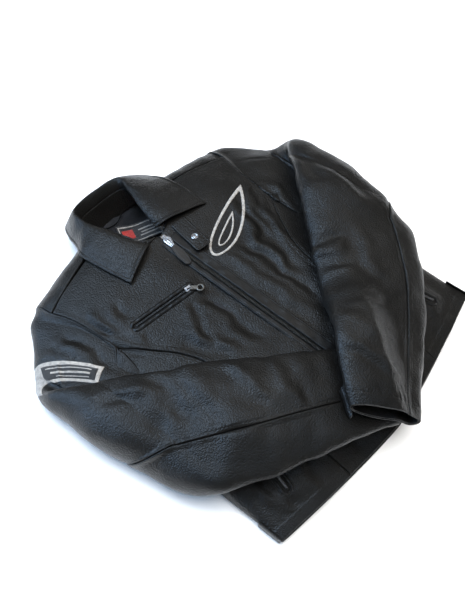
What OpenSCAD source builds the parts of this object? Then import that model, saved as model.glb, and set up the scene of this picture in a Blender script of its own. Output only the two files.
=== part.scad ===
// Leather riding jacket lying on its back, zip closed, both sleeves folded over the front.
// The jacket is drawn about its own zip: x = 0 is the centre front, +x is the wearer's left,
// y = 0 is the shoulder points' line and -y runs down to the hem. place() then moves the
// whole jacket so that the row origin is at the bottom centre of its bounding box.

/* [Torso] */
// Half the width across the body, from the zip to a side seam
body_half_w = 285; // [270:1:300]
// Height of the front above the table at the top of the zip
chest_h = 88; // [80:1:96]
// Height of the side seams above the table
side_seam_h = 14; // [10:1:18]
// Thickness of the leather
leather_t = 3; // [2:0.5:3]

/* [Sleeves] */
// Half the thickness of a folded sleeve's layer
layer_half_t = 25; // [23:1:27]
// Gap that the sleeves keep from what they lie on
lay_gap = 8; // [7:1:12]
// Length of the leather facing inside each cuff, in sleeve stations
facing_v = 1; // [0.6:0.1:1.3]

/* [Zips] */
// Distance from tooth to tooth along a row of the main zip
main_pitch = 5; // [3.5:0.5:6]
// Distance from tooth to tooth along a row of the chest pocket's zip
pocket_pitch = 3; // [2.5:0.5:4]
// Length of the chest pocket's zip
chest_zip_l = 118; // [100:1:122]
// Distance from tooth to tooth along a row of the hand pockets' zips
hand_pitch = 4.5; // [4:0.5:6]
// Length of a hand pocket's zip
hand_zip_l = 146; // [120:1:150]

/* [Hidden] */
$fn = 32;

// Where the jacket's own frame sits in the row frame
row_shift = [1.5, 239.1, 0];
leather_black = [0.07, 0.07, 0.08];
lining_black = [0.04, 0.04, 0.045];
tape_black = [0.05, 0.05, 0.055];
metal_grey = [0.62, 0.62, 0.64];
gun_metal = [0.28, 0.27, 0.26];
thread_white = [0.78, 0.76, 0.73];

// Torso shape
side_power = 2.8;      // roundness of the front's cross-section
back_power = 5;        // roundness of the back's turned-up rim
ridge_h = 38;          // height of the shoulder ridge
ridge_r = 75;          // distance over which the front rolls over to that ridge
hem_bow = 38;          // how much lower the hem is at the centre front
hem_y = -556;          // hem at the side seams
lining_y = -522;       // the lining ends above a leather hem facing
underarm_y = -262;
panel_gap = 0.6;       // half the gap between neighbouring panels
front_edge_x = 5;      // where each front panel ends beside the chain
zip_top_y = -66;       // ends of the zip's straight run
zip_bend_y = -430;
zip_slope = 0.07;      // fall of the zip per millimetre towards the hem
centre_h = [[-640, 12], [-600, 15], [-575, 20], [-540, 33], [-490, 50],
            [zip_bend_y, chest_h + zip_slope * (zip_bend_y - zip_top_y)],
            [zip_top_y, chest_h], [0, chest_h + 1], [60, chest_h - 4], [120, chest_h - 20]];

// y of the shoulder ridge line at a distance x from the zip
function ridge_y(x) = 60 - 0.2 * max(abs(x) - 75, 0);
// Extra length that the hem's curve gives at x, growing from nothing at mid-body
function hem_drop(x, y) =
    hem_bow * (1 - pow(min(abs(x) / body_half_w, 1), 1.3)) * pow(max(-450 - y, 0) / 106, 2);
function centre_z(y) = lookup(y, centre_h);
// Height of the front's outer face at x, y. off is a distance inwards from that face.
function front_z(x, y, off = 0) =
    let (
        t = min(abs(x) / (body_half_w - off), 1),
        z0 = side_seam_h + (centre_z(y) - off - side_seam_h)
             * pow(1 - pow(t, side_power), 1 / side_power),
        r = (ridge_y(x) - off - y) / ridge_r
    )
    r >= 1 ? z0
    : ridge_h + (max(z0, ridge_h) - ridge_h) * pow(1 - pow(1 - max(r, 0), 2.2), 1 / 2.2);

// A point of the front at angle a (0 at the zip, 90 at the side seam, signed by side)
function front_angle(x) =
    sign(x) * asin(pow(min(abs(x) / body_half_w, 1), side_power / 2));
function front_point(a, y, off = 0) =
    let (
        x = sign(a) * (body_half_w - off) * pow(abs(sin(a)), 2 / side_power),
        low_y = y - hem_drop(x, y)
    ) [x, low_y, front_z(x, low_y, off)];
// The same for the back, a shallow dish whose rim turns up to the side seams
function back_point(x, y, off = 0) =
    let (t = min(abs(x) / body_half_w, 1))
    [x * (body_half_w - off) / body_half_w, y - hem_drop(x, y),
     side_seam_h - 1 - (side_seam_h - 1 - off) * pow(1 - pow(t, back_power), 1 / back_power)];

// Smooth curve through rows of numbers: row number v may lie between two of them
function spline_1(a, b, c, d, t) =
    0.5 * (2 * b + (c - a) * t + (2 * a - 5 * b + 4 * c - d) * t * t
           + (3 * b - a - 3 * c + d) * t * t * t);
function row_at(rows, v) =
    let (n = len(rows) - 1, i = min(floor(v), n - 1))
    spline_1(rows[max(i - 1, 0)], rows[i], rows[i + 1], rows[min(i + 2, n)], v - i);
function mix(a, b, t) = a + (b - a) * t;
function along(rows, t) =
    let (v = t * (len(rows) - 1), i = min(floor(v), len(rows) - 2))
    mix(rows[i], rows[i + 1], v - i);

// A closed skin between two grids of points that have the same rows and columns
module skin(outer, inner, closed = false) {
    rows = len(outer);
    cols = len(outer[0]);
    n = rows * cols;
    last = closed ? cols : cols - 1;
    function at(i, j) = i * cols + j % cols;
    grid = [for (i = [0:rows - 2], j = [0:last - 1])
            [at(i, j), at(i, j + 1), at(i + 1, j + 1), at(i + 1, j)]];
    ends = [for (j = [0:last - 1], i = [0, rows - 1])
            i == 0 ? [at(0, j + 1), at(0, j)] : [at(i, j), at(i, j + 1)]];
    sides = closed ? [] : [for (i = [0:rows - 2], j = [0, cols - 1])
            j == 0 ? [at(i, 0), at(i + 1, 0)] : [at(i + 1, j), at(i, j)]];
    polyhedron(
        points = concat([for (r = outer) each r], [for (r = inner) each r]),
        faces = concat(
            [for (q = grid) each [[q[0], q[2], q[1]], [q[0], q[3], q[2]]]],
            [for (q = grid) each [[n + q[0], n + q[1], n + q[2]], [n + q[0], n + q[2], n + q[3]]]],
            [for (e = concat(ends, sides)) each [[e[1], e[0], n + e[0]], [e[1], n + e[0], n + e[1]]]]
        ));
}

// A ruled patch of the front between two seams, each a list of [x, y]
module front_patch(seam_a, seam_b, rows, cols, off = 0, t = leather_t) {
    function grid(o) = [for (i = [0:rows]) [for (j = [0:cols])
        let (
            p = along(seam_a, i / rows),
            q = along(seam_b, i / rows),
            a = mix(front_angle(p[0]), front_angle(q[0]), j / cols),
            y = mix(p[1], q[1], j / cols)
        ) front_point(a, y, o)]];
    skin(grid(off), grid(off + t));
}
// The same patch on the wearer's right, mirrored
module sided(right) {
    if (right) mirror([1, 0, 0]) children();
    else children();
}

// Seams of the wearer's left half, from the hem up, as [x, y]
princess = [[133, hem_y], [134, -500], [136, -400], [140, -300], [154, -249],
            [190, -190], [215, -153]];
princess_in = [for (p = princess) [p[0] - panel_gap, p[1] + panel_gap]];
princess_out = [for (p = princess) [p[0] + panel_gap, p[1] - panel_gap]];
side_seam = [[body_half_w, hem_y], [body_half_w, -480], [body_half_w, -400], [body_half_w, -330],
             [body_half_w, -290], [body_half_w, -270], [body_half_w, underarm_y]];
centre_edge = [[front_edge_x, hem_y], [front_edge_x, -480], [front_edge_x, -400],
               [front_edge_x, -300], [front_edge_x, -210], [front_edge_x, -130],
               [front_edge_x, -66], [20, -56], [80, -15], [117, 11]];
front_outer = concat([for (i = [0:6]) princess_in[i]], [[217, -112], [223, -62], [234, -20]]);

module front_panel(right) {
    color(leather_black) sided(right) front_patch(centre_edge, front_outer, 30, 9);
}
module side_panel(right) {
    color(leather_black) sided(right) front_patch(princess_out, side_seam, 22, 10);
}
module front_lining(right) {
    inner = [for (p = centre_edge) [p[0] + 18, max(min(p[1], -10), lining_y)]];
    outer = [for (i = [0:9]) i < 7 ? [body_half_w - 8, max(side_seam[i][1], lining_y)] : front_outer[i]];
    color(lining_black) sided(right) front_patch(inner, outer, 18, 9, off = leather_t + 4, t = 1);
}
// Folded leather strip along a front edge, with the zip's tape sewn under it
module placket(right) {
    edge = [for (p = [[0, hem_y], [0, -480], [0, zip_bend_y], [0, -300], [0, -150], [0, -84]])
            [front_edge_x + 0.5, p[1]]];
    outer = [for (p = edge) [p[0] + (right ? 11 : 20), p[1]]];
    color(leather_black) sided(right) front_patch(edge, outer, 20, 2, off = -2.2, t = 1.5);
}
// The yoke runs over each shoulder, from the front seam down to the back panel
yoke_x = [84, 234];    // its inner end, under the collar, and its outer end at the armhole
function yoke_front(x) = min(14 - (x - 119) * 0.27, (x - 80) * 0.703 - 14);
module half_yoke() {
    rows = 9;
    cols = 10;
    function grid(off) = [for (i = [0:rows]) [for (j = [0:cols])
        let (
            x = mix(yoke_x[0], yoke_x[1], j / cols),
            front = yoke_front(x),
            ridge = ridge_y(x) - off,
            a = 180 * i / rows,
            y = a < 90 ? mix(front, ridge, sin(a)) : mix(ridge, ridge - 18, 1 - sin(a)),
            top = front_z(x, front, off),
            z = a < 90 ? mix(ridge_h, top, cos(a)) : mix(ridge_h, 4.5 + off, -cos(a))
        ) [x, y, z]]];
    skin(grid(0), grid(leather_t));
}
module shoulder_yoke() {
    color(leather_black) {
        half_yoke();
        mirror([1, 0, 0]) half_yoke();
    }
}
// The back ends under the yoke at each shoulder, and between them it rises to the collar stand
function back_top(x) = ridge_y(x) - 22 + 26 * ease((86 - abs(x)) / 34);
function neck_rise(x, y) = (12 + 18 * pow(min(abs(x) / 56, 1), 2)) * ease((y - 34) / 32);
upper_back_y = -10;    // where the rows of the back start to spread up to its top edge
neck_rows = 4;
module back_patch(off, t, half, low_y, short, rows, cols) {
    function grid(o) = [for (i = [0:rows]) [for (j = [0:cols])
        let (
            y = mix(low_y, upper_back_y, min(i / (rows - neck_rows), 1)),
            w = y < underarm_y ? half : mix(half, half - 73, min((y - underarm_y) / 60, 1)),
            u = mix(-1, 1, j / cols),
            x = w * sign(u) * (1 - pow(1 - abs(u), 1.5)),
            up = max(i - rows + neck_rows, 0) / neck_rows,
            p = back_point(x, mix(y, back_top(x) - short, up), o)
        ) p + [0, 0, neck_rise(x, p[1])]]];
    skin(grid(off + t), grid(off));
}
module back_panel() {
    color(leather_black) back_patch(0, leather_t, body_half_w, hem_y, 0, 20, 18);
}
module back_lining() {
    color(lining_black) back_patch(leather_t + 2, 1, body_half_w - 10, lining_y, 8, 18, 18);
}

// Collar: stations from the right front edge round the back of the neck to the left, each
// [neckline point, fold point, outer edge point]. It lies a little askew, as a soft collar does.
collar_stations = [
    [[-10, -64, 91], [-32, -68, 98], [-112, -94, 91]],
    [[-42, -44, 92], [-47, -35, 102], [-120, -40, 90]],
    [[-68, -2, 91], [-57, 12, 101], [-124, 16, 88]],
    [[-76, 38, 68], [-67, 60, 98], [-109, 48, 72]],
    [[-56, 62, 36], [-58, 97, 92], [-77, 116, 44]],
    [[-4, 74, 20], [-6, 103, 88], [-6, 144, 26]],
    [[50, 62, 36], [44, 90, 91], [88, 112, 44]],
    [[70, 36, 66], [37, 54, 97], [110, 54, 72]],
    [[66, -2, 91], [23, 14, 100], [112, 12, 88]],
    [[40, -42, 92], [10, -24, 101], [112, -32, 92]],
    [[10, -64, 91], [6, -51, 97], [110, -80, 91]]
];
// The leaf bulges over its fold; b runs from the fold to the outer edge
function leaf_point(v, b, off) =
    let (
        s = row_at(collar_stations, v),
        p = mix(s[1], s[2], b),
        rise = 9 * pow(sin(180 * pow(b, 0.6)), 0.8)
    ) [p[0], p[1], p[2] + rise - off];
function stand_point(v, b, off) =
    let (
        s = row_at(collar_stations, v),
        p = mix(s[0], s[1], b),
        c = [-8, 20, p[2]],
        inward = (c - p) / max(norm(c - p), 1)
    ) [p[0] + inward[0] * (off + 3), p[1] + inward[1] * (off + 3), p[2] - 4 * b];
module collar_leaf() {
    color(leather_black) skin(
        [for (i = [0:40]) [for (j = [0:6]) leaf_point(i / 4, j / 6, leather_t)]],
        [for (i = [0:40]) [for (j = [0:6]) leaf_point(i / 4, j / 6, 0)]]);
}
module collar_stand() {
    color(leather_black) skin(
        [for (i = [0:40]) [for (j = [0:4]) stand_point(i / 4, j / 4, 0)]],
        [for (i = [0:40]) [for (j = [0:4]) stand_point(i / 4, j / 4, leather_t)]]);
}
module neck_label() {
    color([0.75, 0.1, 0.08]) translate([22, 4, 10.6]) rotate([0, 0, -25])
        cube([92, 44, 1], center = true);
}
module hanger_loop() {
    function strip(off) = [for (i = [0:8]) [for (j = [0:1])
        [mix(-26, 22, i / 8), 66 - 9 * sin(22.5 * i) - off, 26 + 5 * j - 4 * sin(22.5 * i)]]];
    color(leather_black) skin(strip(0), strip(1.6));
}

// Sleeves: each is a flattened tube, drawn as a flat strip and then folded back over the front
// about the straight axis of its fold. A station is
// [distance past the axis, distance down the axis, angle across, half width, half thickness,
// how much the layer on top bulges up].
fold_r = layer_half_t;
right_fold = [[-325, -94], [0.122, -0.9925]];
left_fold = [[312, -103], [-0.144, -0.9896]];
right_stations = [
    [-50, 39, -96.5, 133, 35, 6], [-18, 88, -86, 127, 31, 8], [27, 149, -70, 117, 24, 4],
    [92, 236, -50, 103, 23, 0], [167, 317, -53, 103, 23, 0], [231, 376, -52, 91, 22, 0],
    [300, 437, -49, 75, 19, 0], [356, 484, -50, 67, 18, 0]];
left_stations = [
    [-39, 27, -96.5, 136, 35, 6], [0, 82, -84, 128, 33, 14], [45, 138, -65, 114, 32, 24],
    [97, 200, -50, 97, 30, 24], [135, 258, -43, 96, 27, 10], [194, 340, -41, 92, 26, 0],
    [258, 409, -41, 82, 25, 0], [302, 452, -41, 74, 23, 0], [340, 488, -43, 65, 21, 0],
    [368, 520, -46, 58, 20, 0]];
ring_power = 2.3;
// How far the sleeve's cap reaches in over the body at the armhole, by place across the strip
cap_reach = [[-1, 0], [-0.93, 38], [-0.77, 54], [-0.2, 56], [0.32, 44], [0.81, 24], [1, 0]];

function smooth_max(a, b, r) = (a + b + sqrt((a - b) * (a - b) + r * r)) / 2;
function ease(t) = let (u = max(0, min(1, t))) u * u * (3 - 2 * u);
// Height of what the right forearm adds on top of the front, where the left sleeve crosses it.
// soft goes from 0, for the sleeve's lower layer, to 1, for its upper one, which slopes gently.
right_ridge = [[-277, -317], [9, -537]];
function right_bump(x, y, soft) =
    let (
        d = right_ridge[1] - right_ridge[0],
        n = norm(d),
        u = ((x - right_ridge[0][0]) * d[0] + (y - right_ridge[0][1]) * d[1]) / n,
        s = abs((x - right_ridge[0][0]) * d[1] - (y - right_ridge[0][1]) * d[0]) / n,
        w = mix(118, 96, u / n)
    ) 54 * ease((w - s + 14 + 106 * soft) / (40 + 130 * soft)) * ease((n + 55 - u) / 60);
function bed_z(x, y, soft, right) = front_z(x, min(y, 0)) + (right ? 0 : right_bump(x, y, soft));
// The right forearm lies over a hand pocket, so it keeps clear of that pocket's slider
slider_room = 4.5;

function folded(d, t, h, fold, side, extra, half_t, right) =
    let (
        a = fold[0],
        u = fold[1],
        n = side * [-u[1], u[0]],
        turn = 180 * d / (PI * fold_r),
        low = d <= 0,
        high = turn >= 180,
        out = low ? d : high ? PI * fold_r - d : (fold_r + h) * sin(turn),
        z = low ? fold_r - h : high ? 3 * fold_r + h : 2 * fold_r - (fold_r + h) * cos(turn),
        flat_out = low ? d : high ? PI * fold_r - d : fold_r * sin(turn),
        p = a + u * t + n * out,
        q = a + u * t + n * flat_out,
        bed = bed_z(q[0], q[1], (1 + h / half_t) / 2, right) + lay_gap + (right ? slider_room : 0) + half_t,
        over = ease((turn - 110) / 70),
        sink = right ? 30 * ease((d - 230) / 110) : 0,
        rise = over * (smooth_max(3 * fold_r - sink, bed, 12) - 3 * fold_r)
    ) [p[0], p[1], z + rise + max(half_t - fold_r, 0) + extra * ease(turn / 200)];
function sleeve_point(stations, fold, side, v, a, off, right) =
    let (
        s = row_at(stations, v),
        ca = cos(a),
        sa = sin(a),
        w = s[3] - off,
        k = s[4] - off,
        across = w * sign(ca) * pow(abs(ca), 2 / ring_power),
        h = k * sign(sa) * pow(abs(sa), 2 / ring_power),
        reach = lookup(across / w, cap_reach) * pow(max(1 - v, 0), 2) * pow(abs(sa), 0.5)
    ) folded(s[0] + across * cos(s[2]) - reach, s[1] + across * sin(s[2]), h, fold, side,
             s[5], s[4], right);
function stations_of(right) = right ? right_stations : left_stations;
function fold_of(right) = right ? right_fold : left_fold;
function side_of(right) = right ? -1 : 1;
// Angles round the sleeve of its back seam, which shows, and its front seam, which doesn't
function back_seam(right) = right ? 101 : 125;
front_seam = 300;
module sleeve_patch(right, v0, v1, a0, a1, rows, cols, off, t, closed = false) {
    function grid(o) = [for (i = [0:rows]) [for (j = [0:(closed ? cols - 1 : cols)])
        sleeve_point(stations_of(right), fold_of(right), side_of(right),
                     mix(v0, v1, i / rows), mix(a0, a1, j / cols), o, right)]];
    if (right) skin(grid(off), grid(off + t), closed);
    else skin(grid(off + t), grid(off), closed);
}
function last_v(right) = len(stations_of(right)) - 1;
module top_sleeve(right) {
    color(leather_black)
        sleeve_patch(right, 0, last_v(right), front_seam - 360 + 1, back_seam(right) - 1, 30, 11,
                     0, leather_t);
}
module under_sleeve(right) {
    color(leather_black)
        sleeve_patch(right, 0, last_v(right), back_seam(right) + 1, front_seam - 1, 30, 11, 0, leather_t);
}
module sleeve_lining(right) {
    color(lining_black)
        sleeve_patch(right, 0.3, last_v(right) - facing_v - 0.1, 0, 360, 20, 14,
                     leather_t + 6.5, 1, closed = true);
}
module cuff_facing(right) {
    color(leather_black)
        sleeve_patch(right, last_v(right) - facing_v, last_v(right) - 0.02, 0, 360, 4, 24,
                     leather_t + 1.2, 1.6, closed = true);
}

// Straight frame on the front: local +Y runs from a to b, and local +Z is the outward normal
module on_line(a, b) {
    d = b - a;
    across = [d[1], -d[0]] / norm([d[0], d[1]]);
    mid = (a + b) / 2;
    rise = front_z(mid[0] + across[0], mid[1] + across[1])
           - front_z(mid[0] - across[0], mid[1] - across[1]);
    translate(a) rotate([0, 0, atan2(-d[0], d[1])])
        rotate([atan2(d[2], norm([d[0], d[1]])), 0, 0]) rotate([0, -atan(rise / 2), 0]) children();
}

// Zip parts, drawn with the chain along local Y and its top face at local z = 0
tooth_h = 3.4;
tooth_reach = 3.3;
tooth_lap = 0.7;       // how far a tooth reaches past the chain's middle
module tooth_row(from, to, pitch, side) {
    for (y = [from + (side > 0 ? 0 : pitch / 2) : pitch : to])
        translate([side > 0 ? -tooth_lap : tooth_lap - tooth_reach, y, -tooth_h])
            cube([tooth_reach, pitch * 0.42, tooth_h]);
}
plate_z = 0.5;         // underside of a slider's plate
plate_t = 1.4;
pull_z = 3.5;          // axis of a pull's end bar
pull_t = 1.6;
// A slider: a plate over the chain, a flange down each side and an arch on top
module slider(l, w) {
    translate([0, 0, plate_z]) linear_extrude(plate_t) offset(r = 1.4, $fn = 24)
        square([w - 2.8, l - 2.8], center = true);
    for (s = [-1, 1]) translate([s * (w / 2 - 0.6) - 0.6, -l / 2 + 1.4, -1.2])
        cube([1.2, l - 2.8, 1.2 + plate_z + 0.3]);
    translate([1, 0, plate_z + plate_t]) rotate([0, -90, 0]) linear_extrude(2) difference() {
        translate([-0.3, -4.3]) square([3.9, 8.6]);
        translate([-1, -3.3]) square([3.7, 6.6]);
    }
}
// A pull that points along local -Y from its end bar's axis, which is the local X axis
module pull(eye_w, w, l, ring_r) {
    translate([0, 0, -pull_t / 2]) linear_extrude(pull_t) difference() {
        union() {
            translate([-eye_w / 2 - 1.5, -6.5]) square([eye_w + 3, 7.3]);
            translate([-w / 2, -l]) square([w, l - 6]);
            if (ring_r > 0) translate([0, -l - ring_r + 1]) circle(r = ring_r);
        }
        translate([-eye_w / 2, -5]) square([eye_w, 4.2]);
        if (ring_r > 0) translate([0, -l - ring_r + 1]) circle(r = ring_r - 2);
    }
}

// Main zip
main_top = [0, zip_top_y, centre_z(zip_top_y) + 0.6];
main_low = [0, zip_bend_y, centre_z(zip_bend_y) + 0.6];
main_l = norm(main_low - main_top);
slider_rest = 9;       // distance of the slider's middle below the zip's top
main_pull_yaw = -11;   // the pull lies askew, towards the wearer's right
module main_chain() {
    on_line(main_low, main_top) children();
}
module zip_tape(right) {
    edge = [for (y = [hem_y, -500, zip_bend_y, -300, -150, zip_top_y]) [1.2, y]];
    outer = [for (p = edge) [19, p[1]]];
    color(tape_black) sided(right) front_patch(edge, outer, 20, 2, off = leather_t + 0.8, t = 0.8);
}
module zip_teeth(right) {
    side = right ? -1 : 1;
    color(gun_metal) {
        main_chain() tooth_row(3, main_l - 4, main_pitch, side);
        for (y = [zip_bend_y - 2 - (right ? main_pitch / 2 : 0) : -main_pitch : hem_y + 12])
            let (p = front_point(0, y), n = front_point(0, y - 2))
            translate([0, p[1], p[2] + 0.6]) rotate([atan2(p[2] - n[2], p[1] - n[1]), 0, 0])
                translate([right ? tooth_lap - tooth_reach : -tooth_lap, 0, -tooth_h])
                    cube([tooth_reach, main_pitch * 0.42, tooth_h]);
    }
}
module at_main_slider() {
    main_chain() translate([0, main_l - slider_rest, 0]) children();
}
module main_slider() {
    color(metal_grey) at_main_slider() slider(15, 9);
}
module at_main_pull() {
    at_main_slider() translate([0, 0, pull_z]) rotate([0, 0, main_pull_yaw]) children();
}
module main_pull() {
    color(metal_grey) at_main_pull() pull(6.4, 7, 20, 0);
}
module pull_leather() {
    color(leather_black) at_main_pull() difference() {
        translate([0, 0, -1.7]) linear_extrude(3.4) hull() {
            translate([0, -22]) circle(r = 4.5);
            translate([0, -46]) circle(r = 8);
            translate([0, -67]) circle(r = 5);
        }
        translate([-3.6, -20.1, -0.85]) cube([7.2, 20, 1.7]);
    }
}
module zip_top_stops() {
    color(gun_metal) main_chain()
        for (s = [-1, 1]) translate([s * 2.2 - 1.1, main_l - 1.2, -2.2]) cube([2.2, 3, 2.4]);
}
module zip_bottom_box() {
    p = front_point(0, hem_y + 6);
    n = front_point(0, hem_y + 2);
    color(gun_metal) translate([0, p[1], p[2] + 0.6]) rotate([atan2(p[2] - n[2], p[1] - n[1]), 0, 0])
        translate([-3.6, -5, -3]) cube([7.2, 10, 3]);
}

// Neck tab with its snap, sewn on beside the left collar leaf
tab_root = [42, -70, 91.6];
tab_yaw = -9.5;
tab_fall = 1.2;
tab_l = 75;
tab_w = 31;
snap_at = 47;
module on_tab() {
    translate(tab_root) rotate([0, 0, tab_yaw]) rotate([tab_fall, 0, 0]) children();
}
module neck_tab() {
    color(leather_black) on_tab() difference() {
        linear_extrude(leather_t) hull() {
            for (s = [-1, 1]) translate([s * (tab_w / 2 - 3), 3 - tab_l]) circle(r = 3);
            translate([-tab_w / 2, -3]) square([tab_w, 3]);
        }
        translate([0, -snap_at, -1]) cylinder(r = 1.7, h = 8);
    }
}
module snap_cap() {
    color(metal_grey) on_tab() translate([0, -snap_at, leather_t]) {
        rotate_extrude() polygon([[0, 0], [6.5, 0], [6.5, 0.8], [5.8, 1.9], [4.4, 1.9], [3.8, 1.1],
                                  [2, 1.1], [1.6, 1.8], [0, 1.8]]);
        translate([0, 0, -leather_t]) cylinder(r = 1.6, h = leather_t + 0.3);
    }
}
module snap_socket() {
    color(metal_grey) on_tab() translate([0, -snap_at, -1.7]) difference() {
        cylinder(r = 5.6, h = 1.7);
        translate([0, 0, -1]) cylinder(r = 2.6, h = 2.2);
    }
}
// The stud that the snap closes on is on the other front, across the zip
stud_at = [-34, -106];
module snap_stud() {
    color(metal_grey) translate([stud_at[0], stud_at[1], front_z(stud_at[0], stud_at[1])]) {
        cylinder(r = 5.6, h = 0.8);
        cylinder(r = 2.3, h = 2.6);
    }
}

// Pocket zips: each frame runs from the closed end, where the slider rests, to the other end
function on_front(x, y, up) = [x, y, front_z(x, y) + up];
// A pocket's chain is straight, so its ends are lifted to clear the bulge of the front between them
chest_lift = 3.2;
hand_lift = 6.4;
chest_from = [-50, -177];
chest_to = chest_from + chest_zip_l * [-0.981, 0.193];
chest_a = on_front(chest_from[0], chest_from[1], chest_lift);
chest_b = on_front(chest_to[0], chest_to[1], chest_lift);
hand_from = [187, -375];
hand_to = hand_from + hand_zip_l * [0.235, -0.972];
hand_a = on_front(hand_from[0], hand_from[1], hand_lift);
hand_b = on_front(hand_to[0], hand_to[1], hand_lift);
slot_half_w = 5.4;     // half the width of a pocket's mouth between its welts
welt_w = 6.5;
welt_h = 2.2;
module welts(l) {
    for (s = [-1, 1]) translate([s * (slot_half_w + welt_w / 2), l / 2, -0.4]) rotate([90, 0, 0])
        linear_extrude(l + 14, center = true) scale([1, 2 * welt_h / welt_w]) circle(d = welt_w);
}
module pocket_tape(l, lap) {
    translate([-8, -3, lap - tooth_h - 0.8]) cube([16, l + 6, 0.8]);
}
module pocket_teeth(l, pitch) {
    for (s = [-1, 1]) tooth_row(0, l, pitch, s);
}
module chest_chain() {
    on_line(chest_a, chest_b) children();
}
module chest_welts() {
    color(leather_black) chest_chain() welts(chest_zip_l);
}
module chest_zip_tape() {
    color(tape_black) chest_chain() pocket_tape(chest_zip_l, 0);
}
module chest_zip_teeth() {
    color(metal_grey) chest_chain() pocket_teeth(chest_zip_l, pocket_pitch);
}
module at_chest_slider() {
    chest_chain() translate([0, 5, 0]) children();
}
module chest_slider() {
    color(metal_grey) at_chest_slider() slider(12, 8.8);
}
chest_pull_yaw = -37;
module chest_pull() {
    color(gun_metal) at_chest_slider() translate([0, 0, pull_z])
        rotate([0, 0, chest_pull_yaw]) pull(8, 7, 21, 5.5);
}
bag_w = 118;
bag_l = 120;
module chest_pocket_bag() {
    color(lining_black) translate([-168, -300, front_z(168, -300) - 16]) cube([bag_w, bag_l, 2]);
}
module hand_chain(right) {
    sided(right) on_line(hand_a, hand_b) children();
}
module hand_welts(right) {
    color(leather_black) hand_chain(right) welts(hand_zip_l);
}
module hand_zip(right) {
    color(metal_grey) hand_chain(right) {
        pocket_tape(hand_zip_l, 0.2);
        pocket_teeth(hand_zip_l, hand_pitch);
    }
}
module hand_slider(right) {
    color(metal_grey) hand_chain(right) translate([0, 7, 0]) slider(12, 8.8);
}
module hand_pull(right) {
    color(gun_metal) hand_chain(right) translate([0, 7, pull_z]) mirror([0, 1, 0])
        pull(6.4, 6, 18, 4);
}
module hand_bag(right) {
    color(lining_black) sided(right) translate([100, -520, 22]) cube([90, 110, 2]);
}
module side_tab(right) {
    color(leather_black) sided(right) translate([body_half_w + 0.6, -554, 4]) cube([3, 42, 20]);
}

// Generic embroidered marks
module chest_emblem() {
    rows = 8;
    cols = 6;
    centre = [112, -131.5];
    u = [0.922, 0.387];
    function grid(off) = [for (i = [0:rows]) [for (j = [0:cols])
        let (
            a = mix(-83, 92, i / rows),
            b = mix(-24, 24, j / cols),
            p = centre + a * u + b * [-u[1], u[0]]
        ) [p[0], p[1], front_z(p[0], p[1]) + off]]];
    color(thread_white) skin(grid(0.4), grid(1.2));
}
// A band round the right upper arm: s runs along it and b across it
module sleeve_badge() {
    function band(s, b, off) =
        sleeve_point(right_stations, right_fold, -1, mix(0.35, 0.71, b) + s * mix(0.85, 1.1, b),
                     262 + 4 * b + 85 * s + 25 * s * s, off, true);
    function grid(off) = [for (i = [0:12]) [for (j = [0:4]) band(i / 12, j / 4, off)]];
    color(thread_white) skin(grid(-0.6), grid(-1.8));
}
// Strap across the right cuff, and the lip of the left cuff's slit, which stands open
module right_cuff_strap() {
    v = last_v(true) - 0.55;
    color(leather_black) sleeve_patch(true, v - 0.25, v + 0.3, -24, -4, 3, 4, -3.6, 3);
}
lip = [[[-58, -500, 122], [-68, -513, 119], [-78, -526, 114], [-86, -537, 109]],
       [[-63, -498, 106], [-73, -511, 104], [-83, -524, 101], [-90, -536, 99]]];
module left_cuff_lip() {
    function grid(off) = [for (i = [0:3]) [for (j = [0:1]) lip[j][i] + [-off, 0.6 * off, 0]]];
    color(leather_black) skin(grid(leather_t), grid(0));
}

module place() {
    translate(row_shift) children();
}
place() back_panel();
place() shoulder_yoke();
place() front_panel(true);  // right_front_panel
place() front_panel(false);  // left_front_panel
place() side_panel(true);  // right_side_panel
place() side_panel(false);  // left_side_panel
place() placket(true);  // right_placket
place() placket(false);  // left_placket
place() collar_leaf();
place() collar_stand();
place() back_lining();
place() front_lining(true);  // right_front_lining
place() front_lining(false);  // left_front_lining
place() neck_label();
place() hanger_loop();
place() chest_emblem();
place() sleeve_badge();
place() top_sleeve(true);  // right_top_sleeve
place() under_sleeve(true);  // right_under_sleeve
place() sleeve_lining(true);  // right_sleeve_lining
place() cuff_facing(true);  // right_cuff_facing
place() right_cuff_strap();
place() top_sleeve(false);  // left_top_sleeve
place() under_sleeve(false);  // left_under_sleeve
place() sleeve_lining(false);  // left_sleeve_lining
place() cuff_facing(false);  // left_cuff_facing
place() left_cuff_lip();
place() zip_tape(true);  // right_zip_tape
place() zip_tape(false);  // left_zip_tape
place() zip_teeth(true);  // right_zip_teeth
place() zip_teeth(false);  // left_zip_teeth
place() main_slider();
place() main_pull();
place() pull_leather();
place() zip_top_stops();
place() zip_bottom_box();
place() neck_tab();
place() snap_cap();
place() snap_socket();
place() snap_stud();
place() chest_welts();
place() chest_zip_tape();
place() chest_zip_teeth();
place() chest_slider();
place() chest_pull();
place() chest_pocket_bag();
place() hand_welts(true);  // right_hand_welts
place() hand_zip(true);  // right_hand_zip
place() hand_slider(true);  // right_hand_slider
place() hand_pull(true);  // right_hand_pull
place() hand_bag(true);  // right_hand_bag
place() hand_welts(false);  // left_hand_welts
place() hand_zip(false);  // left_hand_zip
place() hand_slider(false);  // left_hand_slider
place() hand_pull(false);  // left_hand_pull
place() hand_bag(false);  // left_hand_bag
place() side_tab(true);  // right_side_tab
place() side_tab(false);  // left_side_tab
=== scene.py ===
"""Visual model of a leather riding jacket that lies on its back, zip closed, sleeves folded over.

Shapes are worked out in the jacket's own frame, in millimetres: x = 0 is the zip, +x the wearer's
left, y = 0 the shoulder points' line, -y the hem. piece() then puts them in the row frame, in metres.
"""
import math

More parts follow.
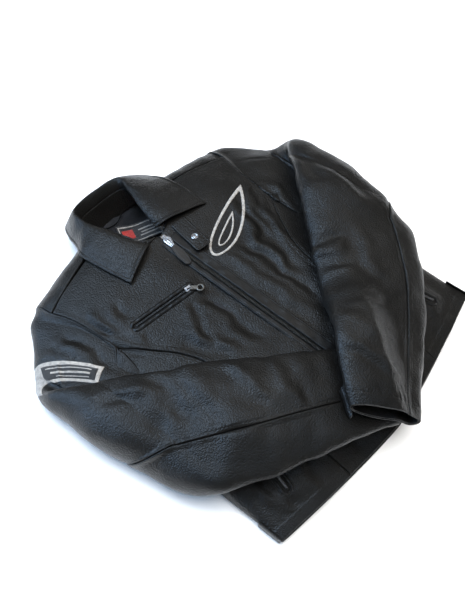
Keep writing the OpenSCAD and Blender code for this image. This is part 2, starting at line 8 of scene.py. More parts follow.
import bpy
import numpy as np
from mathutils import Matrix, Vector


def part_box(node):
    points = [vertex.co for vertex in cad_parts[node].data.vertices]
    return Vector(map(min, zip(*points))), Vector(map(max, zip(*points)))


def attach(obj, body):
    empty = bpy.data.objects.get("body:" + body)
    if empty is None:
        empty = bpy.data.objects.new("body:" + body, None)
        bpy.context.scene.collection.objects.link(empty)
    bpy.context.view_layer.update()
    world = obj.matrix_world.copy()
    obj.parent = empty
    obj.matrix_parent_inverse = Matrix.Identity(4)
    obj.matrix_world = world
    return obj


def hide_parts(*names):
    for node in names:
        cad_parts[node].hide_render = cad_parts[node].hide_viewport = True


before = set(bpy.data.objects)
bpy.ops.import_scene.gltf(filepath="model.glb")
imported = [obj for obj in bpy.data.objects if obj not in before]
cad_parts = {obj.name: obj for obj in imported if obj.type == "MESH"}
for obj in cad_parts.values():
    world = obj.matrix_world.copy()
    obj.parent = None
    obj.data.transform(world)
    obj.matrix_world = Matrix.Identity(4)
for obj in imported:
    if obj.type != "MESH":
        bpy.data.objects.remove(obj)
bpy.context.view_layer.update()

# The jacket's frame in the row frame: the back panel is symmetric and its top edge is known
BACK_TOP = 64.0
back_lo, back_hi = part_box("back_panel")
SHIFT = np.array([(back_lo[0] + back_hi[0]) / 2, back_hi[1] - BACK_TOP / 1000, 0.0])
BODY = "jacket"
SIDES = (("right", -1), ("left", 1))

# ---------------- torso shape
HALF_W = 285.0        # half of the body's width
TABLE = 0.3           # the lowest that a sleeve's outer face may lie
CHEST_H = 88.0        # height of the chest, SIDE_H of the side edges, RIDGE_H of the shoulders
SIDE_H = 14.0
RIDGE_H = 38.0
RIDGE_R = 75.0        # how far the chest's roll down to the shoulders reaches
NECK_HALF = 75.0      # the shoulders' ridge slopes outside it
HEM = -556.0
HEM_SAG = 38.0        # how far the hem's middle bows down, starting at SAG_FROM
SAG_FROM = -450.0
LINING_END = -522.0
UNDERARM = -262.0
ZIP_TOP = -66.0
ZIP_BEND = -430.0     # the chain is straight above it and curves down over the belly below
ZIP_SLOPE = 0.07
SIDE_POWER = 2.8      # how square the front's and the back's cross-sections are
BACK_POWER = 5.0
SKIN = 2.2            # thickness of the body's leather
CENTRE_H = np.array([
    [-640, 12], [-600, 15], [-575, 20], [-540, 33], [-490, 50],
    [ZIP_BEND, CHEST_H + ZIP_SLOPE * (ZIP_BEND - ZIP_TOP)],
    [ZIP_TOP, CHEST_H], [0, CHEST_H + 1], [60, CHEST_H - 4], [120, CHEST_H - 20]])


def xyz(x, y, z):
    """Points from coordinates of any shapes that fit each other."""
    return np.stack(np.broadcast_arrays(x, y, z), -1)


def bell(d, width):
    """A smooth hump: 1 at d = 0, and nearly gone two widths away."""
    return np.exp(-(d / width) ** 2)


def quarter(t, least=0.0):
    """A quarter circle: 1 up to t = 0, and down to 0, or least, at t = 1."""
    return np.sqrt(np.clip(1 - np.maximum(t, 0) ** 2, least, 1))


def ridge_y(x):
    """Where the shoulders' ridge runs."""
    return 60 - 0.2 * np.maximum(np.abs(x) - NECK_HALF, 0)


def hem_drop(x, y):
    middle = 1 - np.minimum(np.abs(x) / HALF_W, 1) ** 1.3
    return HEM_SAG * middle * (np.maximum(SAG_FROM - y, 0) / (SAG_FROM - HEM)) ** 2


def front_z(x, y, off=0.0):
    """Height of the front's outer face. off is a distance inwards from that face."""
    x, y = np.asarray(x, float), np.asarray(y, float)
    t = np.minimum(np.abs(x) / (HALF_W - off), 1)
    centre = np.interp(y, CENTRE_H[:, 0], CENTRE_H[:, 1])
    z = SIDE_H + (centre - off - SIDE_H) * np.maximum(1 - t ** SIDE_POWER, 0) ** (1 / SIDE_POWER)
    r = np.clip((ridge_y(x) - off - y) / RIDGE_R, 0, 1)
    roll = np.maximum(1 - (1 - r) ** 2.2, 0) ** (1 / 2.2)
    return np.where(r >= 1, z, RIDGE_H + (np.maximum(z, RIDGE_H) - RIDGE_H) * roll)


def front_angle(x):
    """The angle round the front's cross-section that x lies at, from -pi / 2 to pi / 2."""
    return np.sign(x) * np.arcsin(np.minimum(np.abs(x) / HALF_W, 1) ** (SIDE_POWER / 2))


def front_point(angle, y, off=0.0):
    """A point of the front's outer face, or off inside it. y is its place before the hem bows down."""
    x = np.sign(angle) * (HALF_W - off) * np.abs(np.sin(angle)) ** (2 / SIDE_POWER)
    low = y - hem_drop(x, y)
    return xyz(x, low, front_z(x, low, off))


def back_point(x, y, off=0.0):
    """A point of the back's outer face, which lies on the table and turns up at the sides."""
    t = np.minimum(np.abs(x) / HALF_W, 1)
    rim = (SIDE_H - 1 - off) * np.maximum(1 - t ** BACK_POWER, 0) ** (1 / BACK_POWER)
    return xyz(x * (HALF_W - off) / HALF_W, y - hem_drop(x, y), SIDE_H - 1 - rim)


def smooth_row(rows, v):
    """Points on the smooth curve through rows; v counts rows and may lie between two."""
    rows = np.asarray(rows, float)
    last = len(rows) - 1
    v = np.atleast_1d(np.asarray(v, float))
    i = np.clip(np.floor(v), 0, last - 1).astype(int)
    t = (v - i).reshape((-1,) + (1,) * (rows.ndim - 1))
    a, b = rows[np.maximum(i - 1, 0)], rows[i]
    c, d = rows[i + 1], rows[np.minimum(i + 2, last)]
    return 0.5 * (2 * b + (c - a) * t + (2 * a - 5 * b + 4 * c - d) * t ** 2
                  + (3 * b - a - 3 * c + d) * t ** 3)


def mix(a, b, t):
    return a + (b - a) * t


def ease(t):
    t = np.clip(t, 0, 1)
    return t * t * (3 - 2 * t)


def clustered(n, share=0.8):
    """n + 1 numbers from 0 to 1, closer together near both ends."""
    u = np.linspace(0, 1, n + 1)
    return share * 0.5 * (1 - np.cos(math.pi * u)) + (1 - share) * u


# ---------------- sleeve shape
FOLD_R = 25.0         # radius of a sleeve's fold
LAY_GAP = 8.0         # gap between a folded forearm and what it lies on
SLIDER_ROOM = 4.5     # extra gap over the right hand pocket's slider
RING_POWER = 2.3      # how square a sleeve's cross-section is
FRONT_SEAM = 300.0    # angle round the sleeve at which its front seam runs
# Where each fold's line starts, its direction, and the side that the forearm turns to
FOLDS = {"right": ((-325, -94), (0.122, -0.9925), -1), "left": ((312, -103), (-0.144, -0.9896), 1)}
# Stations from the armhole to the cuff: way past the fold's line, place along that line, tilt of the
# cross-section in degrees, half width, half thickness, lift
STATIONS = {
    "right": np.array([
        [-50, 39, -96.5, 133, 35, 6], [-18, 88, -86, 127, 31, 8], [27, 149, -70, 117, 24, 4],
        [92, 236, -50, 103, 23, 0], [167, 317, -53, 103, 23, 0], [231, 376, -52, 91, 22, 0],
        [300, 437, -49, 75, 19, 0], [356, 484, -50, 67, 18, 0]], float),
    "left": np.array([
        [-39, 27, -96.5, 136, 35, 6], [0, 82, -84, 128, 33, 14], [45, 138, -65, 114, 32, 24],
        [97, 200, -50, 97, 30, 24], [135, 258, -43, 96, 27, 10], [194, 340, -41, 92, 26, 0],
        [258, 409, -41, 82, 25, 0], [302, 452, -41, 74, 23, 0], [340, 488, -43, 65, 21, 0],
        [368, 520, -46, 58, 20, 0]], float)}
BACK_SEAM = {"right": 101.0, "left": 125.0}
# How far the sleeve's cap reaches beyond its first station, by place across the sleeve
CAP_REACH = np.array([[-1, 0], [-0.93, 38], [-0.77, 54], [-0.2, 56], [0.32, 44], [0.81, 24], [1, 0]])


def last_v(side):
    return len(STATIONS[side]) - 1


def beside(x, y, a, b):
    """Seen from above: the way along the line from a to b, the way across it, and its length."""
    d = np.array([b[0] - a[0], b[1] - a[1]], float)
    length = np.linalg.norm(d)
    d /= length
    x, y = x - a[0], y - a[1]
    return x * d[0] + y * d[1], x * d[1] - y * d[0], length


FOREARM_FROM = (-277.0, -317.0)
FOREARM_TO = (9.0, -537.0)


def right_bump(x, y, soft):
    """Height that the right forearm adds under the left one: soft is 1 for the upper layer."""
    along, across, length = beside(x, y, FOREARM_FROM, FOREARM_TO)
    step = mix(118, 96, along / length) - np.abs(across) + 14 + 106 * soft
    return 54 * ease(step / (40 + 130 * soft)) * ease((length + 55 - along) / 60)


def sleeve_point(side, v, angle, off=0.0):
    """A point of the folded sleeve: v counts stations from the armhole, angle goes round it."""
    v, angle = np.broadcast_arrays(np.asarray(v, float), np.asarray(angle, float))
    shape = v.shape
    s = smooth_row(STATIONS[side], v.ravel())
    rad = np.radians(angle.ravel())
    ca, sa = np.cos(rad), np.sin(rad)
    width, half_t = s[:, 3] - off, s[:, 4] - off
    across = width * np.sign(ca) * np.abs(ca) ** (2 / RING_POWER)
    h = half_t * np.sign(sa) * np.abs(sa) ** (2 / RING_POWER)
    reach = (np.interp(across / width, CAP_REACH[:, 0], CAP_REACH[:, 1])
             * np.maximum(1 - v.ravel(), 0) ** 2 * np.abs(sa) ** 0.5)
    tilt = np.radians(s[:, 2])
    d = s[:, 0] + across * np.cos(tilt) - reach
    t = s[:, 1] + across * np.sin(tilt)
    start, u, sign = FOLDS[side]
    n = (-sign * u[1], sign * u[0])
    turn = d / FOLD_R
    low, high = d <= 0, turn >= math.pi
    out = np.where(low, d, np.where(high, math.pi * FOLD_R - d, (FOLD_R + h) * np.sin(turn)))
    z = np.where(high, 3 * FOLD_R + h, 2 * FOLD_R - (FOLD_R + h) * np.cos(turn))
    z = np.where(low, FOLD_R - h, z)
    flat = np.where(low, d, np.where(high, math.pi * FOLD_R - d, FOLD_R * np.sin(turn)))
    x, y = start[0] + u[0] * t + n[0] * out, start[1] + u[1] * t + n[1] * out
    qx, qy = start[0] + u[0] * t + n[0] * flat, start[1] + u[1] * t + n[1] * flat
    upper = (1 + h / s[:, 4]) / 2
    bed = front_z(qx, np.minimum(qy, 0)) + LAY_GAP + s[:, 4]
    sink = 0.0
    if side == "right":
        bed = bed + SLIDER_ROOM
        sink = 30 * ease((d - 230) / 110)
    else:
        bed = bed + right_bump(qx, qy, upper)
    # past the fold the layer comes down on the larger of its own floor and the bed, rounded between
    degrees = np.degrees(turn)
    floor = 3 * FOLD_R - sink
    raised = (floor + bed + np.sqrt((floor - bed) ** 2 + 144)) / 2
    z = z + ease((degrees - 110) / 70) * (raised - 3 * FOLD_R)
    z = z + np.maximum(s[:, 4] - FOLD_R, 0) + s[:, 5] * ease(degrees / 200)
    if side == "left":
        # the stiff cuff stands open: its upper layer keeps level where the bed falls away
        z = z + ease((v.ravel() - last_v(side) + 2.4) / 2.2) * upper * (6 + 16 * ease((qx + 30) / 90))
    return np.stack([x, y, z], -1).reshape(shape + (3,))


# ---------------- relief
def ripple(p, size, seed, octaves=3):
    """Smooth pseudo-random height between about -1 and 1, with features of that size."""
    rng = np.random.default_rng(seed)
    total = np.zeros(p.shape[:-1])
    for octave in range(octaves):
        k = rng.normal(size=(7, 3))
        k *= (2 * math.pi / size * 2 ** octave) / np.linalg.norm(k, axis=1)[:, None]
        phase = rng.uniform(0, 2 * math.pi, 7)
        total += np.sin(p @ k.T + phase).sum(-1) / 3.7 * 0.5 ** octave
    return total


def creases(p, folds):
    """Creases between two points seen from above, each (x0, y0, x1, y1, width, height)."""
    total = np.zeros(p.shape[:-1])
    warp = 5 * ripple(p, 70, 5, 2)
    for x0, y0, x1, y1, width, height in folds:
        along, across, length = beside(p[..., 0], p[..., 1], (x0, y0), (x1, y1))
        t, s = along / length, across + warp
        fade = ease(t / 0.3 + 0.2) * ease((1 - t) / 0.3 + 0.2)
        total += height * fade * (bell(s, width) - 0.7 * bell(s - 1.9 * width, width))
    return total


def seam(d, raised=0.9, stitch=6.5):
    """Height beside a sewn seam: a groove at it, then a lapped ridge that ends at a stitch line."""
    groove = -1.3 * bell(d, 0.9)
    lap = raised * ease(d / 1.6) * (1 - ease((d - stitch) / 3.5))
    line = -0.45 * bell(d - stitch, 0.8)
    return groove + lap + line


def stitch_line(d, at):
    """The groove that a row of stitches pulls in, at that distance from an edge."""
    return -0.5 * bell(d - at, 0.9)


# ---------------- meshes
def lengths(points, axis):
    """Distance along a grid's rows or columns, from the first point."""
    step = np.linalg.norm(np.diff(points, axis=axis), axis=-1)
    pad = [(0, 0), (0, 0)]
    pad[axis] = (1, 0)
    return np.pad(np.cumsum(step, axis=axis), pad)


def read(points, places, at):
    """The line through points that lie at those places along it, read at other places."""
    return np.stack([np.interp(at, places, points[:, i]) for i in range(3)], -1)


def grid_normals(points, closed=False):
    if closed:
        dv = (np.roll(points, -1, 1) - np.roll(points, 1, 1)) / 2
    else:
        dv = np.gradient(points, axis=1)
    n = np.cross(np.gradient(points, axis=0), dv)
    return n / np.maximum(np.linalg.norm(n, axis=-1, keepdims=True), 1e-9)


def piece(name, verts, faces, mat, nodes=(), slot="black_leather", body=BODY, smooth=True):
    """A Blender object from points in the jacket's frame, riding on its body."""
    mesh = bpy.data.meshes.new(name)
    mesh.from_pydata((np.asarray(verts) / 1000 + SHIFT).tolist(), [], [list(map(int, f)) for f in faces])
    mesh.polygons.foreach_set("use_smooth", [smooth] * len(mesh.polygons))
    mesh.materials.append(mat)
    mesh.update()
    obj = bpy.data.objects.new(name, mesh)
    bpy.context.scene.collection.objects.link(obj)
    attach(obj, body)
    if nodes:
        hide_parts(*nodes)
    return obj


def quads(idx, closed=False):
    """Faces of an index grid."""
    right = np.roll(idx, -1, 1) if closed else idx[:, 1:]
    left = idx if closed else idx[:, :-1]
    return np.stack([left[:-1], right[:-1], right[1:], left[1:]], -1).reshape(-1, 4)


def facing(points, toward, closed=False):
    """+1 or -1, whichever makes a grid's normals point toward a vector, or away from each row's
    middle ("round"), or from the grid's middle ("arch")."""
    if isinstance(toward, str):
        axis = 1 if toward == "round" else (0, 1)
        toward = points - points.mean(axis=axis, keepdims=True)
    return 1 if (grid_normals(points, closed) * toward).sum() > 0 else -1


def shell(name, points, t, mat, nodes=(), closed=False, toward=(0, 0, 1), turn=1, declare=None, **kw):
    """A skin of thickness t with a rounded rim, under a grid of points whose good side faces toward.
    turn = -1 puts the good side on the other side. declare says how a sheet of cloth is held, and
    what it rests on."""
    out = facing(points, toward, closed) * turn
    n = grid_normals(points, closed) * out
    rows, cols = points.shape[:2]
    inner = points - n * t
    count = rows * cols
    idx = np.arange(count).reshape(rows, cols)
    faces = [quads(idx, closed), quads(idx, closed)[:, ::-1] + count]
    verts = [points.reshape(-1, 3), inner.reshape(-1, 3)]
    if closed:
        loops = [(idx[0], idx[1], 1), (idx[-1], idx[-2], -1)]
    else:
        ring = np.concatenate([idx[0, :-1], idx[:-1, -1], idx[-1, :0:-1], idx[:0:-1, 0]])
        inside = np.concatenate([idx[1, :-1], idx[:-1, -2], idx[-2, :0:-1], idx[:0:-1, 1]])
        loops = [(ring, inside, 1)]
    base = 2 * count
    flat_outer, flat_inner = verts[0], verts[1]
    for ring, inside, way in loops:
        away = flat_outer[ring] - flat_outer[inside]
        away /= np.maximum(np.linalg.norm(away, axis=1, keepdims=True), 1e-9)
        mid = (flat_outer[ring] + flat_inner[ring]) / 2 + away * t * 0.45
        m = base + np.arange(len(ring))
        base += len(ring)
        verts.append(mid)
        nxt, m_nxt = np.roll(ring, -1), np.roll(m, -1)
        f = np.concatenate([np.stack([nxt, ring, m, m_nxt], -1),
                            np.stack([m_nxt, m, ring + count, nxt + count], -1)])
        faces.append(f if way > 0 else f[:, ::-1])
    faces = np.concatenate(faces)
    if out < 0:
        faces = faces[:, ::-1]
    obj = piece(f"{name}_skin", np.concatenate(verts), faces, mat, nodes, **kw)
    if declare:
        sheet(obj, np.concatenate([points, points[:, :1]], 1) if closed else points, *declare)


def sheet(obj, points, held, rests_on):
    """Works out how wide, how long and how large a sheet's cut is from its grid of points; the numbers
    are not kept.
    """
    width, length = lengths(points, 1)[:, -1].max() / 1000, lengths(points, 0)[-1].max() / 1000
    u, w = np.diff(points, axis=0)[:, :-1], np.diff(points, axis=1)[:-1]
    area = np.linalg.norm(np.cross(u, w), axis=-1).sum() / 1e6
    area = min(max(area, 0.31 * width * length), width * length)


def skin(name, points, t, mat, **kw):
    """A shell that stands for the CAD node of the same name."""
    shell(name, points, t, mat, [name], **kw)


def turned(name, points, place, mat, nodes=(), capped=True, **kw):
    """A closed form from rings of points: its ends are capped, or it closes on itself as a ring does."""
    idx = np.arange(points.shape[0] * points.shape[1]).reshape(points.shape[:2])
    if capped:
        faces = [list(f) for f in quads(idx, True)] + [list(idx[0][::-1]), list(idx[-1])]
    else:
        faces = quads(np.concatenate([idx, idx[:1]]), True)[:, ::-1]
    piece(name, place(points.reshape(-1, 3)), faces, mat, nodes, **kw)


def many(name, places, shape, mat, nodes=(), **kw):
    """One piece from many copies of a small closed shape. A place is (origin, x axis, y axis, z axis)."""
    verts, faces = shape
    verts = np.asarray(verts, float)
    all_v, all_f = [], []
    for k, (o, ax, ay, az) in enumerate(places):
        all_v.append(o + verts[:, :1] * ax + verts[:, 1:2] * ay + verts[:, 2:] * az)
        all_f += [[i + k * len(verts) for i in f] for f in faces]
    piece(name, np.concatenate(all_v), all_f, mat, nodes, **kw)


def block(lx, ly, lz, chamfer=0.2):
    """A box with cut corners, standing on z = 0: its vertices and faces."""
    v, f = [], []
    levels = [(0, chamfer), (chamfer, 0), (lz - chamfer, 0), (lz, chamfer)]
    for z, inset in levels:
        x, y, c = lx / 2 - inset, ly / 2 - inset, chamfer
        v += [(-x, -y + c, z), (-x + c, -y, z), (x - c, -y, z), (x, -y + c, z),
              (x, y - c, z), (x - c, y, z), (-x + c, y, z), (-x, y - c, z)]
    for r in range(len(levels) - 1):
        for i in range(8):
            j = (i + 1) % 8
            f.append((r * 8 + i, r * 8 + j, r * 8 + 8 + j, r * 8 + 8 + i))
    f += [tuple(range(7, -1, -1)), tuple(range(len(v) - 8, len(v)))]
    return v, f


def path_places(path, normals, pitch, start=0.0, end=0.0, lift=0.0):
    """Evenly spaced frames along a path: x across, y along, z out."""
    d = lengths(np.asarray(path)[None], 1)[0]
    at = np.arange(start, d[-1] - end, pitch)
    p, n = read(path, d, at), read(normals, d, at)
    t = read(path, d, at + 0.5) - read(path, d, at - 0.5)
    t /= np.linalg.norm(t, axis=1, keepdims=True)
    n -= (n * t).sum(1, keepdims=True) * t
    n /= np.linalg.norm(n, axis=1, keepdims=True)
    return [(p[i] + n[i] * lift, np.cross(t[i], n[i]), t[i], n[i]) for i in range(len(at))]


# ---------------- materials
class Look:
    """A material in the making: its nodes read the object's own coordinates, in metres."""

    def __init__(self, name, **values):
        self.material = bpy.data.materials.new(name)
        self.material.use_nodes = True
        self.tree = self.material.node_tree
        self.shader = self.tree.nodes["Principled BSDF"]
        self.coord = self.tree.nodes.new("ShaderNodeTexCoord").outputs["Object"]
        for key, value in values.items():
            self.shader.inputs[key.replace("_", " ")].default_value = value

    def node(self, kind, links=(), **values):
        """A node with some inputs set by name, and others linked as (input, source) pairs."""
        node = self.tree.nodes.new("ShaderNode" + kind)
        for key, value in values.items():
            node.inputs[key].default_value = value
        for key, source in links:
            self.tree.links.new(source, node.inputs[key])
        return node

    def noise(self, scale, detail=3.0, rough=0.55, output="Fac"):
        values = {"Scale": scale, "Detail": detail, "Roughness": rough}
        return self.node("TexNoise", [("Vector", self.coord)], **values).outputs[output]

    def paint(self, socket, source, low, high):
        """Drives a socket by a ramp between two (place, colour or number) stops."""
        ramp = self.node("ValToRGB", [("Fac", source)])
        for element, (at, colour) in zip(ramp.color_ramp.elements, (low, high)):
            element.position = at
            element.color = (*(colour if isinstance(colour, tuple) else (colour,) * 3), 1)
        self.tree.links.new(ramp.outputs["Color"], self.shader.inputs[socket])

    def bump(self, *layers):
        """Layers of bump from the lowest up, each (height, distance in metres, strength)."""
        normal = None
        for height, distance, *strength in layers:
            links = [("Height", height)] + ([("Normal", normal)] if normal is not None else [])
            normal = self.node("Bump", links, Distance=distance,
                               Strength=strength[0] if strength else 1.0).outputs["Normal"]
        self.tree.links.new(normal, self.shader.inputs["Normal"])

    def diagonal(self, scale, distortion, detail):
        """The height of fine diagonal lines, as of a weave or of threads."""
        wave = self.node("TexWave", [("Vector", self.coord)], Scale=scale, Distortion=distortion,
                         Detail=detail)
        wave.bands_direction = "DIAGONAL"
        return wave.outputs["Fac"]


def leather(name, dark, light, rough=(0.34, 0.45), cell=2.6, grain=0.0008):
    """Pebbled leather: cells of that size in mm, with finer creases, cloudy colour and gloss."""
    look = Look(name, Specular_IOR_Level=0.36)
    look.paint("Base Color", look.noise(9, 5, 0.6), (0.32, dark), (0.7, light))
    look.paint("Roughness", look.noise(34, 4, 0.6), (0.3, rough[0]), (0.72, rough[1]))
    shifted = look.node("VectorMath")
    shifted.operation = "MULTIPLY_ADD"
    shifted.inputs[1].default_value = (0.0014, 0.0014, 0.0014)
    for k, source in ((0, look.noise(260, 2, 0.5, "Color")), (2, look.coord)):
        look.tree.links.new(source, shifted.inputs[k])
    cells = look.node("TexVoronoi", Scale=1000 / cell, Randomness=0.9)
    cells.feature = "SMOOTH_F1"
    cells.inputs["Smoothness"].default_value = 0.45
    look.tree.links.new(shifted.outputs[0], cells.inputs["Vector"])
    look.bump((cells.outputs["Distance"], -grain), (look.noise(1500, 3, 0.6), 0.00006),
              (look.noise(110, 3, 0.5), 0.0004, 0.8))
    return look.material


def woven(name, dark, light, scale=900, rough=0.75, depth=0.00015, sheen=0.0):
    """Cloth or tape with a fine diagonal weave."""
    look = Look(name, Roughness=rough, Sheen_Weight=sheen)
    look.paint("Base Color", look.noise(40), (0.35, dark), (0.7, light))
    look.bump((look.diagonal(scale, 1.2, 1), depth), (look.noise(120), 0.0004, 0.6))
    return look.material


def thread(name, dark, light):
    """Satin stitch: glossy threads side by side."""
    look = Look(name, Roughness=0.55, Sheen_Weight=0.2)
    look.paint("Base Color", look.noise(160, 4, 0.7), (0.35, dark), (0.65, light))
    look.bump((look.diagonal(520, 1.5, 2), 0.0003), (look.noise(700, 2), 0.0002))
    return look.material


def metal(name, dark, light, rough=(0.2, 0.38)):
    """Plated die-cast metal with worn patches and fine scratches."""
    look = Look(name, Metallic=1.0)
    look.paint("Base Color", look.noise(420, 4, 0.65), (0.36, dark), (0.62, light))
    look.paint("Roughness", look.noise(900), (0.3, rough[0]), (0.7, rough[1]))
    look.bump((look.noise(1300), 0.00005))
    return look.material


BLACK = leather("black_leather", (0.0036, 0.0034, 0.0031), (0.0080, 0.0076, 0.0070))
TRIM = leather("trim_leather", (0.0032, 0.0031, 0.003), (0.0065, 0.0063, 0.006), (0.30, 0.42),
               1.4, 0.0003)
WORN = leather("pull_leather", (0.0035, 0.0033, 0.003), (0.017, 0.0155, 0.014), (0.36, 0.55),
               1.4, 0.0003)
LINING = woven("black_lining", (0.006, 0.006, 0.007), (0.012, 0.012, 0.014), sheen=0.1)
TAPE = woven("zip_tape", (0.006, 0.006, 0.006), (0.012, 0.012, 0.012), 1500, 0.7, 0.0002)
SATIN = thread("grey_satin_thread", (0.21, 0.20, 0.19), (0.41, 0.395, 0.37))
DARK_SATIN = thread("black_satin_thread", (0.012, 0.012, 0.013), (0.022, 0.022, 0.023))
RED_SATIN = thread("red_satin_thread", (0.24, 0.010, 0.008), (0.38, 0.02, 0.014))
BRIGHT = metal("bright_metal", (0.30, 0.30, 0.31), (0.68, 0.68, 0.70), (0.26, 0.42))
DULL = metal("dark_metal", (0.12, 0.105, 0.09), (0.30, 0.28, 0.25), (0.35, 0.5))
TEETH = metal("tooth_metal", (0.045, 0.04, 0.036), (0.13, 0.12, 0.11), (0.3, 0.5))


# ---------------- straight frames on the front
class Line:
    """A straight frame: local +Y runs from a to b, and local +Z is the front's outward normal."""

    def __init__(self, a, b):
        self.a = np.asarray(a, float)
        d = np.asarray(b, float) - self.a
        self.length = np.linalg.norm(d)
        flat = math.hypot(d[0], d[1])
        across = np.array([d[1], -d[0]]) / flat
        mid = (self.a + b) / 2
        rise = (front_z(mid[0] + across[0], mid[1] + across[1])
                - front_z(mid[0] - across[0], mid[1] - across[1]))
        self.m = (turn_z(math.atan2(-d[0], d[1])) @ turn_x(math.atan2(d[2], flat))
                  @ turn_y(-math.atan(rise / 2)))

    def place(self, p):
        return self.a + np.asarray(p, float) @ self.m.T

    def local(self, p):
        return (p - self.a) @ self.m


def turn_x(t):
    """Turns about X; turn_y and turn_z are the same about Y and Z."""
    c, s = math.cos(t), math.sin(t)
    return np.array([[1, 0, 0], [0, c, -s], [0, s, c]])


def turn_y(t):
    c, s = math.cos(t), math.sin(t)
    return np.array([[c, 0, s], [0, 1, 0], [-s, 0, c]])


def turn_z(t):
    c, s = math.cos(t), math.sin(t)
    return np.array([[c, -s, 0], [s, c, 0], [0, 0, 1]])


def zip_line(x, y, dx, dy, length, lift, side=1):
    """A pocket zip's frame, from (x, y) in a direction, lifted over the front."""
    a = [side * x, y, front_z(x, y) + lift]
    b = [side * (x + dx * length), y + dy * length, front_z(x + dx * length, y + dy * length) + lift]
    return Line(a, b)


CHEST_ZIP = zip_line(-50, -177, -0.981, 0.193, 118, 3.2)
HAND_ZIP = {side: zip_line(187, -375, 0.235, -0.972, 146, 6.4, sign) for side, sign in SIDES}


def pocket_bed(p, line):
    """Moves an outer face up to a pocket's straight chain, and down into the slot under it."""
    q = line.local(p)
    x, y = np.abs(q[..., 0]), q[..., 1]
    along = ease((y + 26) / 22) * ease((line.length + 26 - y) / 22)
    outside = bell(np.maximum(x - 11, 0), 13) * along
    move = (-1.8 - q[..., 2]) * outside
    slot = ease((6.2 - x) / 1.6) * ease((y + 6) / 3) * ease((line.length + 6 - y) / 3)
    move = mix(move, -4.9 - q[..., 2], slot)
    return p + move[..., None] * line.m[:, 2]


# ---------------- torso pieces
# Seam lines of the left half, as (x, y) from the hem up
PRINCESS = np.array([[133, HEM], [134, -500], [136, -400], [140, -300], [154, -249], [190, -190],
                     [215, -153]])
SIDE_SEAM = np.array([[HALF_W, y] for y in (HEM, -480, -400, -330, -290, -270, UNDERARM)])
CENTRE_EDGE = np.array([[5, HEM], [5, -480], [5, -400], [5, -300], [5, -210], [5, -130], [5, -66],
                        [20, -56], [80, -15], [117, 11]])
SEAM_GAP = np.array([0.3, -0.3])
FRONT_OUTER = np.concatenate([PRINCESS - SEAM_GAP, [[217, -112], [223, -62], [234, -20]]])

# Creases of the front, as (x0, y0, x1, y1, width, height)
FRONT_FOLDS = [
    (165, -110, 120, -225, 9, -4.0), (135, -185, 108, -310, 9, -3.8), (90, -180, 88, -360, 9, -3.5),
    (45, -170, 55, -400, 12, 3.2), (150, -150, 205, -110, 8, 2.2), (190, -150, 140, -250, 8, 3.0),
    (-44, -195, -46, -340, 8, -2.8), (-122, -210, -88, -320, 12, 3.2), (-68, -185, -110, -290, 8, -2.5),
    (-156, -90, -164, -195, 7, -3.0), (-192, -70, -198, -140, 9, 3.0), (-228, -110, -180, -200, 7, 2.5),
    (-218, -430, -204, -545, 10, 3.2), (-166, -440, -172, -560, 9, -2.8),
    (-256, -455, -238, -550, 9, 2.4),
    (-180, -480, -120, -530, 9, 2.5), (-80, -500, -60, -570, 11, 3.0), (-240, -470, -262, -540, 8, 2.0),
    (70, -480, 90, -570, 12, 2.8), (200, -300, 240, -420, 11, 2.5), (150, -330, 170, -450, 10, 2.5)]


def torso_relief(p):
    """Height of the body's soft waves and folds, which fade out at its sides."""
    calm = ease((HALF_W - np.abs(p[..., 0])) / 40)
    broad = 3.0 * ripple(p, 190, 11, 2) * calm
    fine = 0.9 * ripple(p * [1, 0.6, 1], 62, 12, 2) * calm
    return broad + fine + creases(p, FRONT_FOLDS) * calm


def front_grid(seam_a, seam_b, rows, cols, off=0.0):
    """A grid of points on the front between two seam lines, each given as (x, y) from the hem up."""
    t = clustered(rows, 0.5)
    a = smooth_row(seam_a, t * (len(seam_a) - 1))
    b = smooth_row(seam_b, t * (len(seam_b) - 1))
    u = clustered(cols)
    angle = mix(front_angle(a[:, 0])[:, None], front_angle(b[:, 0])[:, None], u[None])
    return front_point(angle, mix(a[:, 1][:, None], b[:, 1][:, None], u[None]), off)


def mirrored(points, right):
    return points * [-1, 1, 1] if right else points


def relieved(points, height, toward=(0, 0, 1)):
    """The grid moved out by a height, along its normals."""
    return points + grid_normals(points) * facing(points, toward) * height[..., None]


def hem_relief(down, puckers):
    """The hem is turned up and stitched 20 mm above the edge; down is the distance from it."""
    return 0.8 * (1 - ease((down - 17) / 5)) + stitch_line(down, 19) + puckers * bell(down - 21, 6)


ON_BACK = ("laid", ["back_panel"])


def front_panel(side):
    right = side == "right"
    p = mirrored(front_grid(CENTRE_EDGE, FRONT_OUTER, 260, 90), right)
    across, down = lengths(p, 1), lengths(p, 0)
    to_seam = across[:, -1:] - across
    height = torso_relief(p) + seam(to_seam) + hem_relief(down, 0.35 * ripple(p, 12, 21, 1))
    height += seam(down[-1:] - down, 0.7, 5.5)
    p = relieved(p, height * ease(across / 8 + 0.1))
    if right:
        p = pocket_bed(p, CHEST_ZIP)
    skin(f"{side}_front_panel", p, SKIN, BLACK, declare=ON_BACK)


def side_panel(side):
    right = side == "right"
    p = mirrored(front_grid(PRINCESS + SEAM_GAP, SIDE_SEAM, 230, 90), right)
    across, down = lengths(p, 1), lengths(p, 0)
    height = torso_relief(p) + seam(across, -0.2, 3) + hem_relief(down, 0.35 * ripple(p, 12, 22, 1))
    height += seam(across[:, -1:] - across, 0.5, 5)
    p = pocket_bed(relieved(p, height), HAND_ZIP[side])
    skin(f"{side}_side_panel", p, SKIN, BLACK, declare=ON_BACK)


